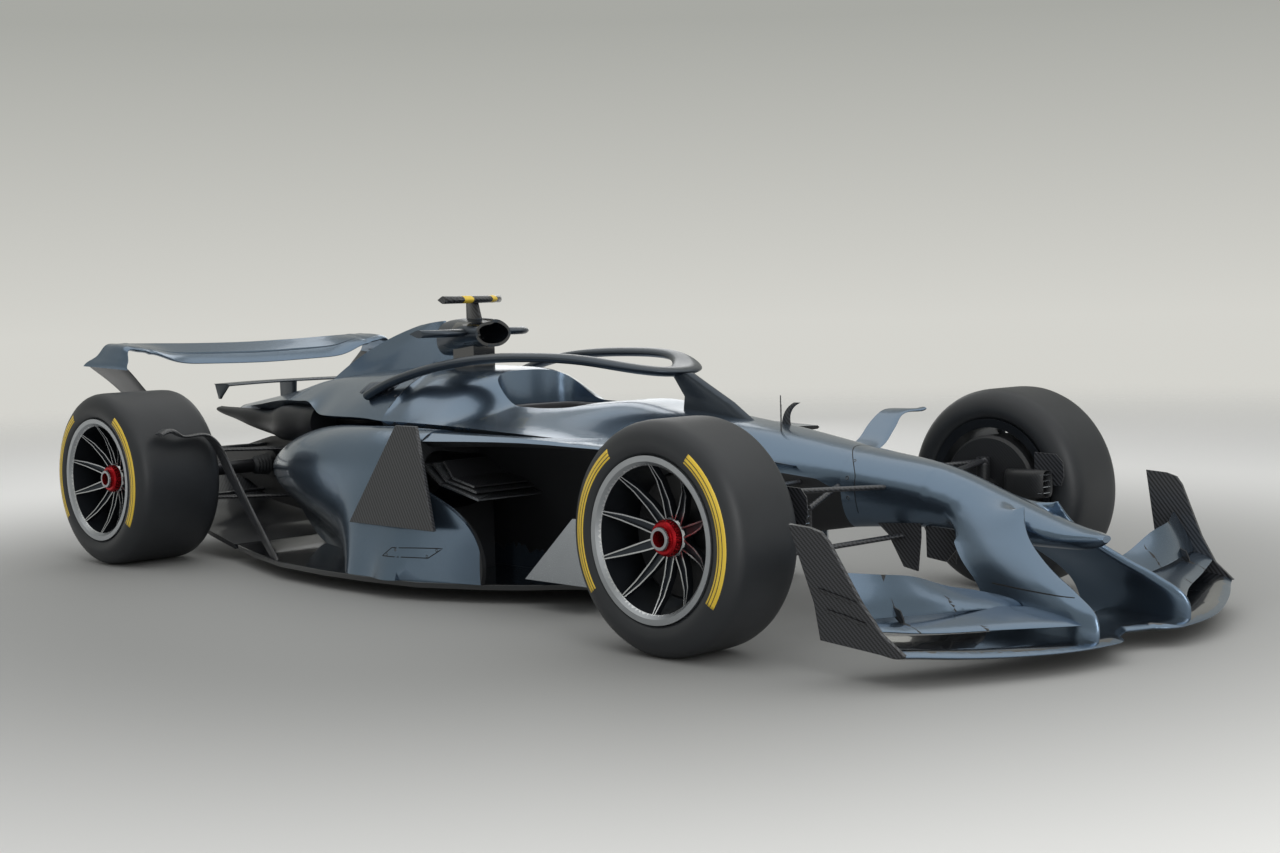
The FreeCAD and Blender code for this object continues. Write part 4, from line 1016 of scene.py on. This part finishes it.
# %% Hatches on the sidepods
hatch = [(0.010, 0.153), (0.055, 0.185), (0.277, 0.192), (0.213, 0.154), (0.010, 0.153)]
hatch_corners = [(0.035, 0.160), (0.075, 0.178), (0.25, 0.184), (0.208, 0.161)]
for hand, side in hands.items():
    pod_tree = surface_of("sidepod_" + hand)
    outline = along_line([car(x, side * outside, z) for x, z in hatch], 0.02)
    ribbon("pod_hatch_" + hand, landings(pod_tree, outline, (0, -side, 0)), 0.0035, 0.0003, seam_black,
           "chassis")
    corners = [car(x, side * outside, z) for x, z in hatch_corners]
    seated("pod_hatch_fasteners_" + hand, fastener, landings(pod_tree, corners, (0, -side, 0)), steel,
           "chassis", size=0.8)

# %% [markdown]
# ## Front brake ducts
# Cooling air reaches each front brake through a scoop on the inner side of the wheel. It turns with
# the upright, so it rides on it. The scoop is lofted through rounded rectangles along a bent line,
# gets its wall from Solidify, and carries four slats in its mouth and a guide plate outside.

# %% Brake ducts
def rounded_ring(work, centre, along, half_width, half_height, count=28, power=0.55):
    """Points of a rounded rectangle that faces along a direction, its height upright."""
    along = Vector(along).normalized()
    across_ring = Vector((0, 0, 1)).cross(along).normalized()
    up = along.cross(across_ring)
    ring = []
    for step in range(count):
        angle = 2 * math.pi * step / count
        c, s = math.cos(angle), math.sin(angle)
        u = math.copysign(abs(c) ** power, c) * half_width
        v = math.copysign(abs(s) ** power, s) * half_height
        ring.append(work.verts.new(Vector(centre) + across_ring * u + up * v))
    return ring


def box_in(work, centre, size):
    """Adds a box to a mesh."""
    made = bmesh.ops.create_cube(work, size=1.0)
    for corner in made["verts"]:
        corner.co = Vector(corner.co[axis] * size[axis] + centre[axis] for axis in range(3))


# Each station: place from the front axle, its direction along x and y, half width and half height.
duct_line = [(0.300, 0.628, 0.405, 1.0, 0.0, 0.029, 0.047), (0.245, 0.631, 0.401, 1.0, 0.02, 0.031, 0.051),
             (0.185, 0.643, 0.394, -0.92, -0.38, 0.032, 0.056),
             (0.135, 0.664, 0.386, -0.7, -0.7, 0.034, 0.060),
             (0.100, 0.6985, 0.380, 0.0, -1.0, 0.036, 0.063)]
guide_outline = [(0.225, 0.400), (0.330, 0.396), (0.342, 0.430), (0.338, 0.480), (0.312, 0.506),
                 (0.225, 0.510)]
for hand, side in hands.items():
    body = "knuckle_" + hand
    work = bmesh.new()
    rings = []
    for x, y, z, ax, ay, wide, high in duct_line:
        way = (abs(ax), -side * abs(ay), 0.0)
        rings.append(rounded_ring(work, (front_axle + x, side * y, z), way, wide, high))
    bridge(work, rings)
    duct = finish_mesh("front_duct_" + hand, work, matt_carbon, body, 60.0)
    wall = duct.modifiers.new("wall", "SOLIDIFY")
    wall.thickness = 0.0022
    wall.offset = -1.0
    work = bmesh.new()
    for step in range(4):
        box_in(work, (front_axle + 0.286, side * 0.628, 0.405 + (step - 1.5) * 0.021),
               (0.018, 0.0545, 0.0022))
    finish_mesh("front_duct_slats_" + hand, work, bright, body)
    work = bmesh.new()
    faces = [[work.verts.new((front_axle + x, side * (y + 0.10 * max(0.0, x - 0.28)), z))
              for x, z in guide_outline] for y in (0.6565, 0.6605)]
    bridge(work, faces, capped=True)
    guide = finish_mesh("front_duct_guide_" + hand, work, carbon, body)
    bevel(guide, 0.0012)
print("brake ducts built")

# %% [markdown]
# ## Cockpit
# The steering wheel carries a blank screen, seven push buttons, two rotary switches and two paddles
# behind. Everything on it rides with the wheel.

# %% Steering wheel controls
wheel_x, wheel_z = middle_x + 0.430, 0.565
driver_face = wheel_x - 0.012


def stud(work, out, y, z, radius, top_radius, height, segments):
    """Adds a short round knob, out from the wheel's face towards the driver."""
    made = bmesh.ops.create_cone(work, cap_ends=True, segments=segments, radius1=radius,
                                 radius2=top_radius, depth=height)
    for corner in made["verts"]:
        corner.co = Vector((driver_face - out - corner.co.z, y + corner.co.x, wheel_z + z + corner.co.y))


work = bmesh.new()
box_in(work, (driver_face - 0.0015, 0, wheel_z + 0.022), (0.003, 0.092, 0.052))
screen = finish_mesh("wheel_screen", work, lens_glass, "steering_wheel")
bevel(screen, 0.0012)
buttons = [("red", red_alloy, [(-0.068, 0.030), (0.068, -0.012)]),
           ("pale", bright, [(0.068, 0.030), (-0.068, 0.006), (0.068, 0.009)]),
           ("yellow", yellow, [(-0.068, -0.016), (0.0, -0.031)])]
for name, look, spots in buttons:
    work = bmesh.new()
    for y, z in spots:
        stud(work, 0.0022, y, z, 0.0068, 0.0056, 0.006, 18)
    finish_mesh("wheel_buttons_" + name, work, look, "steering_wheel")
work = bmesh.new()
for y in (-0.04, 0.04):
    for radius, depth, out in ((0.0125, 0.008, 0.0035), (0.006, 0.008, 0.009)):
        stud(work, out, y, -0.024, radius, radius * 0.9, depth, 20)
finish_mesh("wheel_rotaries", work, steel, "steering_wheel")
paddle_outline = [(0.030, 0.034), (0.098, 0.046), (0.108, 0.024), (0.100, -0.006), (0.030, 0.004)]
work = bmesh.new()
for side in hands.values():
    faces = [[work.verts.new((wheel_x + depth, side * y, wheel_z + z)) for y, z in paddle_outline]
             for depth in (0.0155, 0.0185)]
    bridge(work, faces, capped=True)
    box_in(work, (wheel_x + 0.0145, side * 0.045, wheel_z + 0.018), (0.007, 0.016, 0.016))
paddles = finish_mesh("wheel_paddles", work, carbon, "steering_wheel")
bevel(paddles, 0.0008)
print("wheel controls done")

# %% [markdown]
# ## Padding
# The headrest and the seat's two liners are foam in a thin fabric. The headrest starts from its solid,
# drawn in by a few millimetres, and the liners start as thin lofts along the shell. Each is remeshed
# to even cells and blown up a little by the cloth solver, and no point travels farther than a cap, so
# the piece stays in its place.

# %% Padded pieces
def blow_up(piece, cap, voxel=0.005, pressure=4.0):
    """Swells a closed shape as stuffed fabric does; no point travels farther than the cap."""
    remesh = piece.modifiers.new("cells", "REMESH")
    remesh.mode = "VOXEL"
    remesh.voxel_size = voxel
    graph = bpy.context.evaluated_depsgraph_get()
    even = bpy.data.meshes.new_from_object(piece.evaluated_get(graph))
    piece.modifiers.clear()
    piece.data = even
    rest = [corner.co.copy() for corner in even.vertices]
    cloth = piece.modifiers.new("cloth", "CLOTH")
    cloth.settings.use_pressure = True
    cloth.settings.uniform_pressure_force = pressure
    cloth.settings.effector_weights.gravity = 0.0
    cloth.settings.quality = 5
    cloth.settings.mass = 0.3
    for frame_number in range(1, 21):
        bpy.context.scene.frame_set(frame_number)
    graph = bpy.context.evaluated_depsgraph_get()
    blown = piece.evaluated_get(graph).to_mesh()
    places = [corner.co.copy() for corner in blown.vertices]
    piece.evaluated_get(graph).to_mesh_clear()
    piece.modifiers.clear()
    bpy.context.scene.frame_set(1)
    for corner, before, after in zip(even.vertices, rest, places):
        travel = after - before
        corner.co = before + travel * min(1.0, cap / max(travel.length, 1e-9))
    even.shade_smooth()
    even.materials.clear()
    smooth = piece.modifiers.new("round", "SUBSURF")
    smooth.levels = smooth.render_levels = 1
    return piece


def shrunk(mesh, amount):
    """Moves a closed mesh's corners inwards along their normals."""
    with reworked(mesh) as work:
        bmesh.ops.recalc_face_normals(work, faces=work.faces)
        moves = [(corner, corner.normal.copy() * corner.calc_shell_factor()) for corner in work.verts]
        for corner, way in moves:
            corner.co -= way * amount


head_mesh = merged_mesh("headrest", "headrest_pad")
shrunk(head_mesh, 0.004)
head_pad = blow_up(link("headrest_pad", head_mesh), 0.006)
head_pad.data.materials.append(suede)
ride_as(head_pad, "chassis")
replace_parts(head_pad, "headrest")

back_line = [(0.006, 0.545), (0.030, 0.452), (0.055, 0.356), (0.078, 0.296), (0.125, 0.246)]
base_line = [(0.165, 0.207), (0.215, 0.177), (0.290, 0.168), (0.370, 0.162)]
for name, line, halves in (("seat_back_pad", back_line, (0.118, 0.124)),
                           ("seat_base_pad", base_line, (0.115, 0.105))):
    work = bmesh.new()
    rows = []
    for index, (x, z) in enumerate(line):
        before, beyond = line[max(index - 1, 0)], line[min(index + 1, len(line) - 1)]
        run = Vector((beyond[0] - before[0], 0, beyond[1] - before[1])).normalized()
        out = Vector((-run.z, 0, run.x))
        place = Vector((middle_x + x, 0, z)) + out * 0.002
        half = halves[0] + (halves[1] - halves[0]) * index / (len(line) - 1)
        low = [place + Vector((0, y, 0)) for y in (-half, 0, half)]
        high = [place + out * 0.013 + Vector((0, y * 0.96, 0)) for y in (half, 0, -half)]
        rows.append([work.verts.new(corner) for corner in low + high])
    bridge(work, rows, capped=True)
    pad = finish_mesh(name, work, suede, "chassis")
    blow_up(pad, 0.005)
    pad.data.materials.append(suede)
print("padding done")

# %% [markdown]
# The belts are flat webbing. Two come over the shoulders and two from the hips, and they meet at one
# round buckle. Each strap is a thin ribbon laid over the pads below it.

# %% Belts
def strap(name, points, width):
    """A flat strap through points that carry their own normals."""
    landed = [(car(*place), Vector(normal).normalized()) for place, normal in points]
    return ribbon(name, landed, width, 0.0012, webbing, "chassis", sink=0.0008)


buckle_place = (0.178, 0.0, 0.236)
for hand, side in hands.items():
    strap("shoulder_belt_" + hand, [
        ((-0.024, side * 0.078, 0.566), (0.1, 0, 1)), ((-0.010, side * 0.077, 0.577), (0.3, 0, 1)),
        ((0.008, side * 0.075, 0.573), (0.8, 0, 0.6)), ((0.026, side * 0.071, 0.545), (1, 0, 0.26)),
        ((0.050, side * 0.062, 0.452), (1, 0, 0.25)), ((0.075, side * 0.050, 0.360), (1, 0, 0.3)),
        ((0.103, side * 0.040, 0.305), (0.8, 0, 0.6)), ((0.140, side * 0.026, 0.262), (0.6, 0, 0.8)),
        ((0.168, side * 0.014, 0.240), (0.5, 0, 0.85))], 0.046)
    strap("lap_belt_" + hand, [
        ((0.128, side * 0.133, 0.300), (0.2, -side * 0.9, 0.4)),
        ((0.142, side * 0.120, 0.272), (0.4, -side * 0.6, 0.7)),
        ((0.160, side * 0.085, 0.243), (0.5, -side * 0.2, 0.9)),
        ((0.172, side * 0.045, 0.234), (0.5, 0, 0.9)),
        ((0.178, side * 0.018, 0.233), (0.5, 0, 0.9))], 0.040)
work = bmesh.new()
lean = Vector((0.5, 0, 0.87)).to_track_quat("Z", "Y")
for radius, height, out in ((0.030, 0.010, 0.0), (0.022, 0.006, 0.008)):
    made = bmesh.ops.create_cone(work, cap_ends=True, segments=28, radius1=radius,
                                 radius2=radius * 0.92, depth=height)
    for corner in made["verts"]:
        corner.co.z += out
        corner.co.rotate(lean)
        corner.co += car(*buckle_place)
bevel(finish_mesh("belt_buckle", work, red_alloy, "chassis"), 0.001)
print("belts done")

# %% [markdown]
# ## Driveshaft boots
# A folded rubber boot seals the inner end of each driveshaft. It is turned on a lathe, as a list of
# shares of the way and radii, and it rides with the wheel that the shaft drives.

# %% Lathe-turned boots
def lathe(name, start, end, outline, look, body, segments=32):
    """Turns (share of the way, radius) points about the line from start to end."""
    start, end = Vector(start), Vector(end)
    way = (end - start).to_track_quat("Z", "Y")
    work = bmesh.new()
    rings = []
    for share, radius in outline:
        ring = []
        for step in range(segments):
            angle = 2 * math.pi * step / segments
            spot = Vector((radius * math.cos(angle), radius * math.sin(angle), 0.0))
            spot.rotate(way)
            ring.append(work.verts.new(start.lerp(end, share) + spot))
        rings.append(ring)
    bridge(work, rings, capped=True)
    return finish_mesh(name, work, look, body)


for hand, side in hands.items():
    folds = [(0.0, 0.032)]
    for fold in range(5):
        folds += [(0.08 + fold * 0.18, 0.048 - 0.002 * fold),
                  (0.17 + fold * 0.18, 0.038 - 0.001 * fold)]
    folds += [(1.0, 0.0315)]
    lathe("driveshaft_boot_" + hand, (rear_axle, side * 0.150, axle_height),
          (rear_axle, side * 0.235, axle_height), folds, rubber, "rear_wheel_" + hand)
print("driveshaft boots done")

# %% [markdown]
# ## Finish
# The pieces that were only drawn to be repeated are cleared away.

# %% Clear away the drawn-once pieces
for piece in patterns:
    bpy.data.objects.remove(piece)
patterns.clear()
